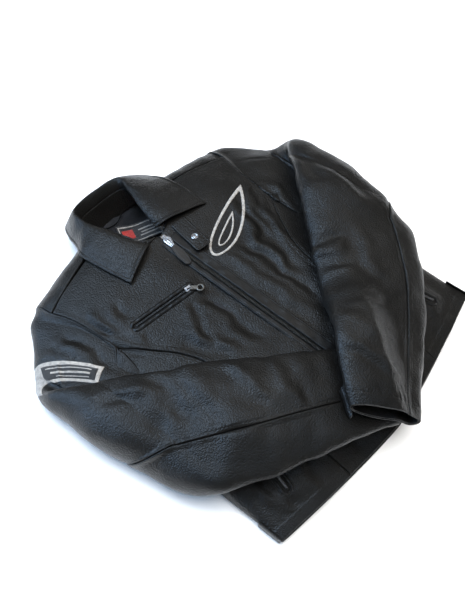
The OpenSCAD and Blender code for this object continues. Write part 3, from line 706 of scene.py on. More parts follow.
def back_grid(off, half, low, short, rows, cols):
    """The back ends under the yoke at each shoulder; between them it rises to the collar stand."""
    share = 0.86
    f = np.linspace(0, 1, rows + 1)[:, None]
    y = mix(low, -10, np.minimum(f / share, 1))
    u = np.linspace(-1, 1, cols + 1)[None]
    narrow = np.where(y < UNDERARM, half, mix(half, half - 73, np.minimum((y - UNDERARM) / 60, 1)))
    x = narrow * np.sign(u) * (1 - (1 - np.abs(u)) ** 1.5)
    top = ridge_y(x) - 22 + 40 * ease((86 - np.abs(x)) / 34) - short
    p = back_point(x, mix(y, top, np.maximum(f - share, 0) / (1 - share)), off)
    p[..., 2] += neck_rise(p)
    return p


def neck_rise(p):
    """How much the back rises to the collar stand at the neck."""
    x, y = np.abs(p[..., 0]), p[..., 1]
    return (14 + 18 * np.minimum(x / 56, 1) ** 2) * ease((y - 34) / 32) + np.maximum(y - 66, 0) * 0.9


def back_panel():
    p = back_grid(0.0, HALF_W, HEM, 0.0, 170, 120)
    x, y = p[..., 0], p[..., 1]
    # a yoke seam across the shoulders, and soft hollows where the back doesn't touch the table
    groove = 0.9 * bell(y + 120, 1.2) + 0.4 * bell(y + 126, 1)
    inside = ease((HALF_W - np.abs(x)) / 60) * ease((y + 556) / 40)
    hollow = np.maximum(ripple(p, 170, 31, 3), 0) * 2.0 * inside
    p[..., 2] += hollow + groove
    skin("back_panel", p, 2.4, BLACK, toward=(0, 0, -1), declare=("laid", []))


def back_lining():
    p = back_grid(5.0, HALF_W - 10, LINING_END, 6.0, 100, 80)
    p[..., 2] += 1.6 + 0.8 * ripple(p, 60, 33, 3)
    skin("back_lining", p, 0.6, LINING, slot="black_lining", declare=ON_BACK)


def front_lining(side):
    inner = np.stack([CENTRE_EDGE[:, 0] + 18, np.clip(CENTRE_EDGE[:, 1], LINING_END, -10)], 1)
    sides = np.stack([np.full(7, HALF_W - 8), np.maximum(SIDE_SEAM[:, 1], LINING_END)], 1)
    outer = np.concatenate([sides, FRONT_OUTER[7:]])
    p = mirrored(front_grid(inner, outer, 90, 50, 7.0), side == "right")
    p = relieved(p, 0.7 * ripple(p, 55, 35, 3))
    skin(f"{side}_front_lining", p, 0.6, LINING, slot="black_lining", toward=(0, 0, -1),
         declare=("hung", [f"{side}_front_panel"]))


YOKE_END = 236.0      # the armhole's x at the shoulder


def yoke_front(x):
    """Where the yoke's front seam runs, from the neck out to the armhole."""
    return np.minimum(14 - (x - 119) * 0.27, (x - 80) * 0.703 - 14)


def over_ridge(a, x, front):
    """Points over the shoulder's ridge: a is 0 in front, at y = front, and pi behind the ridge."""
    ridge = ridge_y(x)
    rising = a < math.pi / 2
    y = np.where(rising, mix(front, ridge, np.sin(a)), mix(ridge, ridge - 18, 1 - np.sin(a)))
    z = np.where(rising, mix(RIDGE_H, front_z(x, front), np.cos(a)), mix(RIDGE_H, 4.5, -np.cos(a)))
    return xyz(x, y, z)


def yoke(side):
    """Over the shoulder, from the front seam to the back panel."""
    right = side == "right"
    x = mix(84, YOKE_END, clustered(90, 0.5))[None]
    a = (math.pi * clustered(80, 0.3))[:, None]
    p = mirrored(over_ridge(a, x, yoke_front(x)), right)
    down, across = lengths(p, 0), lengths(p, 1)
    height = seam(down, 0.7, 5.5) + 0.7 * ripple(p, 60, 41, 3) + seam(across[:, -1:] - across, 0.4, 5)
    p = relieved(p, height * ease(across / 6 + 0.2), "arch")
    shell(f"{side}_shoulder_yoke", p, SKIN, BLACK, ["shoulder_yoke"] if right else [],
          toward="arch", declare=ON_BACK)


def placket(side):
    """Folded strip beside the chain, rounded at the fold and stitched along its outer edge."""
    right = side == "right"
    inner = 4.8                         # from the zip's line to the fold
    width = 11.2 if right else 20.2
    y = np.linspace(HEM + 1, ZIP_TOP - 14, 300)[:, None]
    d = np.linspace(0, width, 28)[None]
    wobble = 0.5 * np.sin(y / 37.0) * ease(d / width)
    p = front_point(front_angle(inner + d), y)
    fold = quarter(1 - d / 2.2)
    edge = ease((width - d) / 1.6)
    height = 0.4 + 2.1 * fold * (0.35 + 0.65 * edge) + stitch_line(width - d, 3.0) + wobble * 0.4
    height = height + 0.5 * ripple(p, 30, 51, 2)
    p = relieved(mirrored(p, right), height)
    skin(f"{side}_placket", p, 1.6, TRIM, declare=("folded", [f"{side}_front_panel"]))


# ---------------- collar
# Stations along the collar, from the right leaf's end: a point of the neckline, of the fold and of
# the leaf's edge
COLLAR = np.array([
    [[-10, -64, 91], [-32, -68, 98], [-112, -94, 91]],
    [[-42, -44, 92], [-47, -35, 102], [-120, -40, 90]],
    [[-68, -2, 91], [-57, 12, 101], [-124, 16, 88]],
    [[-76, 38, 68], [-67, 60, 98], [-109, 48, 72]],
    [[-56, 62, 36], [-58, 97, 92], [-77, 116, 44]],
    [[-4, 74, 20], [-6, 103, 88], [-6, 144, 26]],
    [[50, 62, 36], [44, 90, 91], [88, 112, 44]],
    [[70, 36, 66], [37, 54, 97], [110, 54, 72]],
    [[66, -2, 91], [23, 14, 100], [112, 12, 88]],
    [[40, -42, 92], [10, -24, 101], [112, -32, 92]],
    [[10, -64, 91], [6, -51, 97], [110, -80, 91]]], float)
LEAF_COLS = 56
STAND_COLS = 34
CUT = STAND_COLS - 8      # the column of the seam between the stand and the leaf


def collar_grid():
    """The stand rises from the neckline to the fold, and the leaf falls from it. One surface."""
    v = clustered(300, 0.35) * (len(COLLAR) - 1)
    s = smooth_row(COLLAR, v)
    neck, fold, edge = s[:, 0, None], s[:, 1, None], s[:, 2, None]
    b = np.linspace(0, 1, LEAF_COLS + 1)[None, :, None]
    leaf = mix(fold, edge, b)
    leaf[..., 2] += 9 * np.maximum(np.sin(math.pi * b[..., 0] ** 0.6), 0) ** 0.8
    c = np.linspace(0, 0.97, STAND_COLS)[None, :, None]
    stand = mix(neck, fold, c)
    inward = np.array([-8.0, 20.0, 0.0]) - stand
    inward[..., 2] = 0
    inward /= np.maximum(np.linalg.norm(inward, axis=-1, keepdims=True), 1)
    stand = stand + inward * (3.5 + 2.5 * c)
    stand[..., 2] -= 4 * c[..., 0]
    p = np.concatenate([stand, leaf], 1)
    for _ in range(14):
        p[:, 1:-1] = 0.5 * p[:, 1:-1] + 0.25 * (p[:, :-2] + p[:, 2:])
    for _ in range(6):
        p[1:-1] = 0.5 * p[1:-1] + 0.25 * (p[:-2] + p[2:])
    return p


def collar():
    p = collar_grid()
    across, down = lengths(p, 1), lengths(p, 0)
    to_edge = np.minimum(across[:, -1:] - across, np.minimum(down, down[-1:] - down) + 0.6)
    height = 0.6 * ripple(p, 52, 61, 3)
    height += stitch_line(to_edge, 6.5) * 2.0 + 0.9 * bell(to_edge - 3, 2.2)
    from_seam = across - across[:, CUT:CUT + 1]
    height += -1.0 * bell(from_seam, 0.9) - 0.5 * bell(from_seam + 5, 0.8)
    turn = facing(p, "round")
    p = relieved(p, height, "round")
    for name, part, t, under in (("collar_leaf", p[:, CUT:], 3.0, "collar_stand"),
                                 ("collar_stand", p[:, :CUT + 1], 2.6, "back_panel")):
        side = turn * facing(part, (0, 0, 1))
        skin(name, part, t, BLACK, turn=side, declare=("folded", [under]))


# ---------------- sleeves
# Creases of each sleeve, seen from above
SLEEVE_FOLDS = {
    "right": [(-250, -50, -242, -170, 9, -3.0), (-298, -55, -270, -165, 10, 3.0),
              (-311, -185, -240, -265, 11, 2.8), (-230, -240, -250, -360, 12, -3.0),
              (-180, -260, -200, -370, 12, 2.6), (-138, -330, -147, -430, 11, 2.8),
              (-73, -380, -108, -480, 10, -2.6), (-120, -300, -60, -370, 10, 2.0)],
    "left": [(300, -160, 262, -255, 10, 3.0), (297, -240, 272, -340, 11, -2.8),
             (130, -300, 182, -336, 8, -3.0), (110, -318, 168, -355, 8, 2.8),
             (95, -336, 150, -378, 8, -2.8), (55, -372, 135, -472, 10, 2.6),
             (42, -400, 60, -505, 11, -1.8), (-6, -455, 10, -565, 9, 2.4),
             (240, -130, 215, -215, 10, 2.8), (215, -330, 150, -440, 12, 2.4)]}


def by_length(points, count):
    """The same line with evenly spaced points, and the share of its length at each old point."""
    d = np.concatenate([[0], np.cumsum(np.linalg.norm(np.diff(points, axis=0), axis=1))])
    share = d / d[-1]
    return read(points, share, np.linspace(0, 1, count)), share


def armhole(side):
    """The body's edge that the sleeve is sewn to: up the front, over the yoke and down the back."""
    u = np.linspace(0, 1, 40)
    angle = mix(front_angle(np.array(HALF_W)), front_angle(np.array(215.0)), u)
    low = front_point(angle, mix(UNDERARM, -153, u))
    edge = smooth_row(FRONT_OUTER[6:], 3 * u)
    front = front_point(front_angle(edge[:, 0]), edge[:, 1])
    over = over_ridge(math.pi * np.linspace(0, 1, 60), YOKE_END, yoke_front(YOKE_END))
    x = np.interp(u, [0, 0.75, 1], [213, 213, HALF_W])
    back = back_point(x, np.interp(u, [0, 0.75, 1], [8, -202, UNDERARM]))
    loop = np.concatenate([low, front[1:], over[1:], back[1:], low[:1]])
    return mirrored(loop, side == "right")


def sewn_to(side):
    """A function that gives, for an angle round the sleeve's end, the armhole's point there. The two
    loops are matched by length, with the start and the way round that keep them closest."""
    count = 721
    a = np.linspace(0, 360, count)
    ring, share = by_length(sleeve_point(side, 0.0, a), count)
    loop, _ = by_length(armhole(side), count)
    best = None
    for way in (1, -1):
        for k in range(0, count - 1, 4):
            moved = np.roll(loop[:-1][::way], k, axis=0)
            far = ((moved - ring[:-1]) ** 2).sum()
            if best is None or far < best[0]:
                best = (far, moved)
    moved = np.concatenate([best[1], best[1][:1]])
    for _ in range(60):
        moved[:-1] = 0.5 * moved[:-1] + 0.25 * (np.roll(moved[:-1], 1, 0) + np.roll(moved[:-1], -1, 0))
    moved[-1] = moved[0]
    even = np.linspace(0, 1, count)
    return lambda angle: read(moved, even, np.interp(np.mod(angle, 360), a, share))


def sleeve_cap(side, angles, rows=34):
    """Rows from the armhole's seam to where the sleeve proper starts."""
    target = sewn_to(side)(angles)
    start = sleeve_point(side, 0.0, angles)
    tangent = (sleeve_point(side, 0.12, angles) - start)
    tangent /= np.linalg.norm(tangent, axis=-1, keepdims=True)
    gap = np.linalg.norm(start - target, axis=-1, keepdims=True)
    t = np.linspace(0, 1, rows + 1)[:-1, None, None]
    h00, h10 = 2 * t ** 3 - 3 * t ** 2 + 1, t ** 3 - 2 * t ** 2 + t
    h01, h11 = -2 * t ** 3 + 3 * t ** 2, t ** 3 - t ** 2
    lead = start - target + np.array([0, 0, 0.35]) * gap
    lifted = target + np.array([0, 0, 1.4])
    return h00 * lifted + h10 * lead + h01 * start + h11 * tangent * gap * 0.8


def sleeve_panel(side, name, a0, a1, lapped):
    """A sleeve's leather between two angles round it; lapped says that it lies on top at its
    back seam."""
    angles = mix(a0, a1, clustered(130))
    v = mix(0.0, last_v(side), clustered(330, 0.35))[:, None]
    p = np.concatenate([sleeve_cap(side, angles), sleeve_point(side, v, angles[None])])
    across, down = lengths(p, 1), lengths(p, 0)
    to_cuff = down[-1:] - down
    near = np.minimum(across, across[:, -1:] - across)
    at_back = across if lapped else across[:, -1:] - across
    height = sleeve_relief(side, p, near, to_cuff) * ease(down / 25 + 0.05) + seam(down, 0.9, 6)
    height += seam(at_back, 0.8 if lapped else -0.3, 5.5)
    height += 0.5 * (1 - ease((to_cuff - 17) / 4)) + stitch_line(to_cuff, 18.5) * 1.3
    puckers = np.sin(across / 2.1 + 2 * ripple(p, 30, 75, 1))
    height += 0.35 * puckers * bell(to_cuff - 22, 6)
    p = relieved(p, height, "round")
    p[..., 2] = np.maximum(p[..., 2], TABLE)
    skin(f"{side}_{name}", p, 2.4, BLACK, toward="round",
         declare=("folded", ["back_panel", f"{side}_front_panel"]))


def sleeve_inside(side):
    """The sleeve's lining, and the gathered facing inside its cuff."""
    end = last_v(side)
    inside = {"closed": True, "toward": "round", "turn": -1,
              "declare": ("folded", [f"{side}_top_sleeve", f"{side}_under_sleeve"])}
    a = np.linspace(0, 360, 121)[None, :-1]
    v = np.linspace(0.3, end - 1.1, 120)[:, None]
    p = sleeve_point(side, v, a, 9.5)
    p = p + grid_normals(p, True) * (0.8 * ripple(p, 40, 81, 3))[..., None]
    skin(f"{side}_sleeve_lining", p, 0.6, LINING, slot="black_lining", **inside)
    a = np.linspace(0, 360, 241)[None, :-1]
    v = np.linspace(end - 1, end - 0.02, 46)[:, None]
    p = sleeve_point(side, v, a, 4.2)
    n = grid_normals(p, True)
    gather = np.sin(np.radians(a) * 34 + 3 * ripple(p, 60, 82, 1)) + 0.6 * ripple(p, 14, 83, 2)
    p = p + n * (0.7 * gather * ease((end - 0.1 - v) / 0.5))[..., None]
    skin(f"{side}_cuff_facing", p, 1.4, TRIM, **inside)


def sleeves():
    for side, _ in SIDES:
        seam_at = BACK_SEAM[side]
        sleeve_panel(side, "top_sleeve", FRONT_SEAM - 360, seam_at - 0.3, False)
        sleeve_panel(side, "under_sleeve", seam_at + 0.3, FRONT_SEAM, True)
        sleeve_inside(side)


# ---------------- zips
PITCH = 2.5       # of the main zip's teeth; the left row is half a pitch lower


def main_zip():
    y = np.linspace(ZIP_TOP, HEM + 8, 400)
    path = front_point(front_angle(np.zeros_like(y)), y)
    d = np.gradient(path, axis=0)
    d /= np.linalg.norm(d, axis=1, keepdims=True)
    normals = np.cross(np.tile([1.0, 0, 0], (len(path), 1)), -d)
    for side, sign in SIDES:
        start = 2 + (PITCH / 2 if sign > 0 else 0.0)
        places = path_places(path + [sign * 1.3, 0, 0], normals, PITCH, start, 4, -0.8)
        many(f"{side}_zip_teeth", places, block(3.8, 1.15, 2.6, 0.3), DULL, [f"{side}_zip_teeth"],
             slot="dark_metal")
        x = np.linspace(0.6, 17, 12)[None]
        tape = front_point(front_angle(x), np.linspace(ZIP_TOP + 1, HEM + 2, 200)[:, None], 4.0)
        tape[..., 2] += 1.3 * bell(x - 2.2, 0.9)
        skin(f"{side}_zip_tape", mirrored(tape, sign < 0), 0.7, TAPE, slot="zip_tape",
             declare=("laid", [f"{side}_placket"]))


def straight_chain(prefix, line, teeth_nodes, tape_nodes, mat=TEETH, extra=0.0):
    """Teeth on both tapes of a pocket zip, along a straight line. extra lifts them."""
    y = np.arange(-1.0, line.length + 0.5, 1.0)
    path = line.place(xyz(0.0, y, 0.0))
    normals = np.tile(line.m[:, 2], (len(y), 1))
    places = []
    for sign in (-1, 1):
        side_path = path + sign * 0.75 * line.m[:, 0]
        places += path_places(side_path, normals, 2.0, 0.4 + (sign > 0), 0.4, -2.3 + extra)
    many(f"{prefix}_teeth", places, block(2.4, 1.0, 2.3, 0.25), mat, teeth_nodes, slot="dark_metal")
    x = np.concatenate([np.linspace(-7.5, -2, 6), np.linspace(-1.2, 1.2, 3), np.linspace(2, 7.5, 6)])
    y = np.linspace(-3, line.length + 3, 90)[:, None]
    z = -3.4 + 1.0 * bell(np.abs(x) - 2.6, 0.8) + 0.12 * np.sin(y * 0.8) + extra
    shell(f"{prefix}_tape", line.place(xyz(x, y, z)), 0.7, TAPE, tape_nodes, slot="zip_tape",
          toward=line.m[:, 2])


def welt_pair(prefix, line, nodes, gap, wide):
    """Two leather pipings beside a slot of half width gap, which close on each other at its ends."""
    y = np.linspace(-8, line.length + 8, 160)[:, None]
    a = np.linspace(0, math.pi, 15)[None]
    from_a, from_b = y + 8, line.length + 8 - y
    end = np.minimum(ease(from_a / 3), ease(from_b / 3))
    start = mix(0.4, gap, ease(from_a / 7) * ease(from_b / 7))
    x = start + (1 - np.cos(a)) / 2 * wide
    for k, sign in enumerate((-1, 1)):
        bulge = 1 + 0.10 * np.sin(y / 5.0 + k) + 0.08 * np.sin(y / 2.3)
        z = -2.4 + (3.5 * np.sin(a) ** 0.7) * (0.45 + 0.55 * end) * bulge
        z = z - 0.5 * bell(x - start - wide + 1.3, 0.6)
        shell(f"{prefix}_{'outer' if k else 'inner'}", line.place(xyz(sign * x, y, z)), 1.3, TRIM,
              nodes if k else (), toward=line.m[:, 2])


def zips():
    main_zip()
    straight_chain("chest_zip", CHEST_ZIP, ["chest_zip_teeth"], ["chest_zip_tape"])
    welt_pair("chest_welt", CHEST_ZIP, ["chest_welts"], 3.4, 8.2)
    for side, _ in SIDES:
        straight_chain(f"{side}_hand_zip", HAND_ZIP[side], [f"{side}_hand_zip"], [], BRIGHT, 2.0)
        welt_pair(f"{side}_hand_welt", HAND_ZIP[side], [f"{side}_hand_welts"], 5.2, 7.0)


# ---------------- neck tab, label, loop, marks
def rigid(origin, *turns):
    """A function that puts points of a flat piece's own frame in the jacket's frame."""
    m = np.eye(3)
    for t in turns:
        m = m @ t
    return lambda p: np.asarray(origin, float) + np.asarray(p, float) @ m.T


def rounded_strip(length, width, corner, rows, cols):
    """A strip's flat grid from y = 0 down to -length, its lower corners rounded."""
    y = -length * clustered(rows, 0.6)[:, None]
    u = 2 * clustered(cols)[None] - 1
    left = np.minimum(length + y, corner)
    half = width / 2 - corner + np.sqrt(np.maximum(corner ** 2 - (corner - left) ** 2, 0.0004))
    return u * half, y + 0 * u


on_tab = rigid([42, -70, 91.6], turn_z(math.radians(-9.5)), turn_x(math.radians(1.2)))
TAB_LENGTH = 75
TAB_WIDTH = 31
TAB_TOP = 2.6
SNAP_AT = -47


def neck_tab():
    x, y = rounded_strip(TAB_LENGTH, TAB_WIDTH, 5, 60, 30)
    edge = np.minimum(TAB_WIDTH / 2 - np.abs(x), TAB_LENGTH + y)
    z = TAB_TOP + stitch_line(edge, 3.4) - 0.6 * bell(edge, 1.2)
    z = z + 0.5 * bell(np.hypot(x, y - SNAP_AT) - 9, 3)
    skin("neck_tab", on_tab(xyz(x, y, z)), 2.4, BLACK, body="neck_tab_body",
         declare=("folded", ["left_front_panel"]))


def snap():
    """A ring snap's cap: its profile, as (radius, height), is turned about its axis."""
    profile = np.array([(6.6, -0.3), (6.9, 0.4), (6.7, 1.1), (6.1, 1.7), (5.4, 1.9), (4.8, 1.6),
                        (4.3, 1.0), (3.9, 0.7), (3.2, 0.75), (2.2, 1.15), (1.1, 1.4), (0.3, 1.45)])
    a = np.linspace(0, 2 * math.pi, 48, endpoint=False)
    p = xyz(profile[:, :1] * np.cos(a), profile[:, :1] * np.sin(a), profile[:, 1:])
    turned("snap_cap", p, lambda p: on_tab(p + [0, SNAP_AT, TAB_TOP]), BRIGHT, ["snap_cap"],
           body="neck_tab_body", slot="bright_metal")


def on_surface(x, y, up):
    """Points that height above the front's folds."""
    p = xyz(x, y, front_z(x, y))
    p[..., 2] += torso_relief(p) + up
    return p


def leaf_width(u):
    """Half width of a long leaf, as a share of its largest: pointed at u = 0 and round at u = 1."""
    u = np.clip(u, 0, 1)
    return 2.49 * u ** 0.9 * np.sqrt(1 - u)


def leaf_ring(name, centre, along, long, wide, bend, thick, mat, nodes=(), tip=0.1):
    """A satin-stitched outline of a leaf on the left front, of half length long and half width wide."""
    v = np.array([-along[1], along[0]])
    t = np.linspace(0, 2 * math.pi, 260, endpoint=False)[None]
    r = np.linspace(0, 1, 14)[:, None]
    share = (1 - np.cos(t)) / 2
    outer = np.stack([long * (1 - 2 * share), wide * leaf_width(share) * np.sign(np.sin(t))], -1)
    end = 1 - thick / (2 * long)
    inner = np.stack([long * (1 - 2 * mix(tip, end, share)),
                      (wide - thick) * leaf_width(share) * np.sign(np.sin(t))], -1)
    flat = mix(inner, outer, r[..., None])
    a = flat[..., 0]
    b = flat[..., 1] + bend * (1 - (a / long) ** 2)
    x, y = centre[0] + a * along[0] + b * v[0], centre[1] + a * along[1] + b * v[1]
    rise = 1.5 * np.sqrt(np.clip(1 - (2 * r - 1) ** 4, 0, 1)) + 0.3
    shell(name, on_surface(x, y, rise), 1.0, mat, nodes, closed=True, slot="embroidery")


def chest_emblem():
    """A plain embroidered leaf: a long outline with a short one inside it."""
    along = np.array([0.922, 0.387])
    leaf_ring("emblem_outline", (112, -131), along, 88, 25, -7, 5.2, SATIN, ["chest_emblem"])
    leaf_ring("emblem_vein", (92, -143), along, 42, 9.5, -4, 3.4, SATIN, tip=0.14)


def sleeve_relief(side, p, near, to_cuff):
    seed = 71 if side == "right" else 73
    height = 2.6 * ripple(p, 150, seed, 2) + 1.2 * ripple(p * [1, 0.8, 1.6], 66, seed + 1, 2)
    height += creases(p, SLEEVE_FOLDS[side])
    return height * ease(near / 14 + 0.25) * ease(to_cuff / 30 + 0.15)


FAR = 999.0


def badge_away(p):
    """Away from the right upper arm's middle line."""
    return p - sum(sleeve_point("right", 0.8, angle) for angle in (0.0, 180.0, 90.0, 270.0)) / 4


def badge_point(s, b, up):
    """A point of the band round the right upper arm: s runs round it and b across it."""
    v = mix(0.35, 0.71, b) + s * mix(0.85, 1.1, b)
    p = sleeve_point("right", v, 262 + 4 * b + 85 * s + 25 * s * s)
    near = np.linalg.norm(p - sleeve_point("right", v, FRONT_SEAM), axis=-1)
    return relieved(p, sleeve_relief("right", p, near, FAR) + up, badge_away(p))


def sleeve_badge():
    """An embroidered band: a border, a dark field and three plain bars."""
    def patch(name, s0, s1, b0, b1, up, mat, nodes=(), slant=0.0, rows=90, cols=24):
        round_it, across = clustered(rows, 0.5)[:, None], clustered(cols, 0.6)[None]
        s, b = mix(s0, s1, round_it), mix(b0, b1, across)
        s = s + slant * (b - 0.5) * ease((s - s0) / max(s1 - s0, 1e-6))
        edge = np.minimum(round_it * 40, (1 - round_it) * 40)
        soft = np.sqrt(np.clip(np.minimum(edge, 6 * np.minimum(across, 1 - across)), 0, 1))
        p = badge_point(s, b, up * (0.3 + 0.7 * soft))
        shell(name, p, 1.0, mat, nodes, toward=badge_away(p), slot="embroidery")

    patch("badge_border", 0.0, 1.0, 0.0, 1.0, 1.3, SATIN, ["sleeve_badge"], slant=-0.10)
    patch("badge_field", 0.03, 0.62, 0.14, 0.86, 2.0, DARK_SATIN, slant=-0.10)
    for k, (s1, b0, b1) in enumerate([(0.57, 0.27, 0.33), (0.50, 0.45, 0.57), (0.43, 0.68, 0.74)]):
        patch(f"badge_bar_{k}", 0.07, s1, b0, b1, 2.6, SATIN, slant=-0.03, rows=60, cols=10)


LABEL_HALF = 46
# A frame's four sides and three plain strokes, as (x0, x1, y0, y1)
LABEL_STROKES = [(-43, 43, 17.6, 19.4), (-43, 43, -19.4, -17.6), (-43, -41.4, -18, 18),
                 (41.4, 43, -18, 18), (-6, 38, 4, 7), (-2, 36, -3, -1), (-6, 30, -10, -7.4)]


def neck_label():
    """A woven label on the back's lining, with its frame, strokes and red patch."""
    place = rigid([26, 16, 11.6], turn_z(math.radians(-25)))

    def layer(name, x0, x1, y0, y1, cols, rows, up, mat, nodes=()):
        x, y = np.linspace(x0, x1, cols)[None], np.linspace(y0, y1, rows)[:, None]
        p = place(xyz(x, y, 1.2 * (x / LABEL_HALF) ** 2 + 0.5 * np.sin(x / 9) + up))
        p[..., 2] += neck_rise(p)
        shell(name, p, 0.6, mat, nodes, slot="label")

    layer("neck_label", -LABEL_HALF, LABEL_HALF, -22, 22, 60, 34, 0.6, DARK_SATIN, ["neck_label"])
    for k, stroke in enumerate(LABEL_STROKES):
        layer(f"label_stroke_{k}", *stroke, 40, 6, 1.0, SATIN)
    layer("label_patch", -38, -17, -10, 12, 24, 16, 1.1, RED_SATIN)


def hanger_loop():
    t = np.linspace(0, 1, 60)[:, None]
    w = np.linspace(0, 1, 8)[None]
    arch = np.sin(math.pi * t)
    p = xyz(mix(-26, 22, t), 65.6 - 6 * arch, 26 + 4 * w - 3 * arch)
    skin("hanger_loop", p, 1.2, TRIM, toward=(0, -1, 0))


# ---------------- cuffs and hem trims
# The flap at the left cuff: points along its upper edge, then along its lower one
LIP = np.array([[[-58, -500, 122], [-68, -513, 119], [-78, -526, 114], [-86, -537, 109]],
                [[-63, -498, 106], [-73, -511, 104], [-83, -524, 101], [-90, -536, 99]]], float)


def cuff_lip():
    """The flap at the left cuff's mouth."""
    t = clustered(60, 0.4)
    top, low = smooth_row(LIP[0], t * 3), smooth_row(LIP[1], t * 3)
    w = np.linspace(0, 1, 14)[None, :, None]
    p = mix(top[:, None], low[:, None], w)
    p[..., 0] -= 2.2 * np.sin(math.pi * w[..., 0])
    out = (-1, 0.6, 0)
    p = relieved(p, stitch_line(lengths(p, 1), 4) + 0.3 * ripple(p, 18, 91, 2), out)
    skin("left_cuff_lip", p, SKIN, BLACK, toward=out, declare=("folded", ["left_top_sleeve"]))


def cuff_strap():
    """The short strap sewn on the right cuff, which the left forearm covers."""
    end = last_v("right")
    v = mix(end - 0.8, end - 0.25, clustered(50, 0.6))[:, None]
    a = mix(-26, -2, clustered(30))[None]
    p = sleeve_point("right", v, a, -2.6)
    along = lengths(p, 0)
    edge = np.minimum(along, along[-1:] - along)
    away = p.mean((0, 1)) - sleeve_point("right", end - 0.5, np.arange(0, 360, 10.0)).mean(0)
    p = relieved(p, stitch_line(edge, 3) - 0.8 * bell(edge, 1.2), away)
    skin("right_cuff_strap", p, 1.8, BLACK, toward=away, declare=("folded", ["right_top_sleeve"]))


def side_tab(side, sign, y0=-554, y1=-512, z0=4.5, z1=23.5):
    """A tab on the body's side face at the hem, from y0 to y1 and from z0 to z1."""
    y = mix(y0, y1, clustered(40, 0.5))[:, None]
    z = mix(z0, z1, clustered(24))[None]
    edge = np.minimum(np.minimum(y - y0, y1 - y), np.minimum(z - z0, z1 - z))
    x = HALF_W + 3.2 + stitch_line(edge, 3) - 1.2 * bell(edge, 1.3)
    skin(f"{side}_side_tab", xyz(sign * x, y, z), SKIN, BLACK, toward=(sign, 0, 0),
         declare=("folded", [f"{side}_side_panel"]))


def bag(name, x0, y0, z0, wide, long, side=1):
    """A flat pocket bag: two layers of lining with soft edges."""
    u, v = clustered(26)[None], clustered(26)[:, None]
    full = (np.sin(math.pi * u) * np.sin(math.pi * v)) ** 0.35
    x, y = x0 + u * wide, y0 + v * long
    z = z0 + 1 + 0.9 * full + 0.3 * np.sin(x / 9) * np.sin(y / 13)
    skin(name, xyz(side * x, y, z), 1.6, LINING, slot="black_lining", declare=("hung", []))


def trims():
    """The small soft pieces: tab, marks, label, loop, straps and pocket bags."""
    neck_tab()
    snap()
    chest_emblem()
    sleeve_badge()
    neck_label()
    hanger_loop()
    cuff_lip()
    cuff_strap()
    for side, sign in SIDES:
        side_tab(side, sign)
        bag(f"{side}_hand_bag", 100, -520, 22, 90, 110, sign)
    bag("chest_pocket_bag", -168, -300, front_z(168, -300) - 16, 118, 120)


MAIN_LINE = Line([0, ZIP_BEND, CENTRE_H[5, 1] + 0.6], [0, ZIP_TOP, CHEST_H + 0.6])
PULL_YAW = turn_z(math.radians(-11))


def on_main_pull(p):
    """From the main pull's frame, which starts in the slider's arch and points down the zip at -y."""
    return MAIN_LINE.place(np.array([0, MAIN_LINE.length - 9, 3.5]) + np.asarray(p, float) @ PULL_YAW.T)


def pull_face(node, k, sign, points, t, mat, slot):
    """The upper or lower face of a flat pull: the upper one stands for the CAD node."""
    shell(f"{node}_{k}", on_main_pull(points), t, mat, [node] if k == 0 else [], slot=slot,
          body="main_pull_body", toward=sign * MAIN_LINE.m[:, 2])


def pull_leather():
    """Long oval leather pull, edge-stitched, on the main slider's pull."""
    y = mix(-22.4, -71.8, clustered(80, 0.7)[:, None])
    centre = np.interp(-y, [22, 28, 48, 67, 72], [4.6, 6.2, 9.2, 6.6, 5.4])
    half = centre * np.minimum(quarter((-y - 66.5) / 5.4), quarter((26.4 + y) / 4.2, 0.02)) + 0.05
    u = (2 * clustered(24) - 1)[None]
    edge = half * (1 - np.abs(u))
    for k, sign in enumerate((1, -1)):
        z = sign * (0.5 + 1.3 * quarter(1 - edge / 1.6)) + sign * stitch_line(edge, 2.4)
        pull_face("pull_leather", k, sign, xyz(u * half, y, z), 1.3, WORN, "pull_leather")


def main_pull():
    """Bright ridged pull between the main slider and its leather, with a flatter underside."""
    y = np.linspace(0.6, -27, 70)[:, None]
    half = np.interp(-y, [-0.6, 2, 6, 12, 20, 27], [4.6, 6.6, 7.6, 6.8, 4.8, 3.2])
    u = (2 * clustered(20) - 1)[None]
    ridge = 0.8 * bell(u, 0.16) + 0.35 * bell(np.abs(u) - 0.62, 0.12)
    hole = 1.1 * np.exp(-((y + 3.4) / 1.5) ** 4) * np.exp(-(u * half / 1.9) ** 4)
    for k, (sign, thick, ridged, sunk) in enumerate(((1, 0.95, 1.0, 1), (-1, 0.6, 0.2, 0.5))):
        raised = ridged * ridge * ease((-y - 5) / 3)
        z = sign * (thick * np.sqrt(np.clip(1 - np.abs(u) ** 6, 0, 1)) + raised - sunk * hole)
        pull_face("main_pull", k, sign, xyz(u * half, y, z), 0.9, BRIGHT, "bright_metal")


def chest_pull():
    """Flat tag with a thick ring on its end, hung in the slider's arch by a small eye."""
    yaw = turn_z(math.radians(-37))

    def place(p):
        return CHEST_ZIP.place(np.array([0, 5, 3.5]) + np.asarray(p, float) @ yaw.T)

    for name, size, at, node in (("tag", (7.6, 13.5, 2.2, 0.45), [0, -9.4, -1.1], ["chest_pull"]),
                                 ("rib", (4.8, 6.6, 3.0, 0.4), [0, -9.2, -1.5], [])):
        verts, faces = block(*size)
        piece(f"chest_pull_{name}", place(np.asarray(verts) + at), faces, DULL, node,
              slot="dark_metal", body="chest_pull_body", smooth=False)
    ring_at("chest_pull_ring", lambda p: place(p * [1, 1, 0.74] + [0, -21.5, 0]), 5.7, 2.1, DULL,
            "dark_metal")
    upright = turn_y(math.pi / 2).T
    ring_at("chest_pull_eye", lambda p: place((p @ upright) * [1, 1.15, 0.62] + [0, -2.1, 0]),
            2.4, 0.75, BRIGHT, "bright_metal")


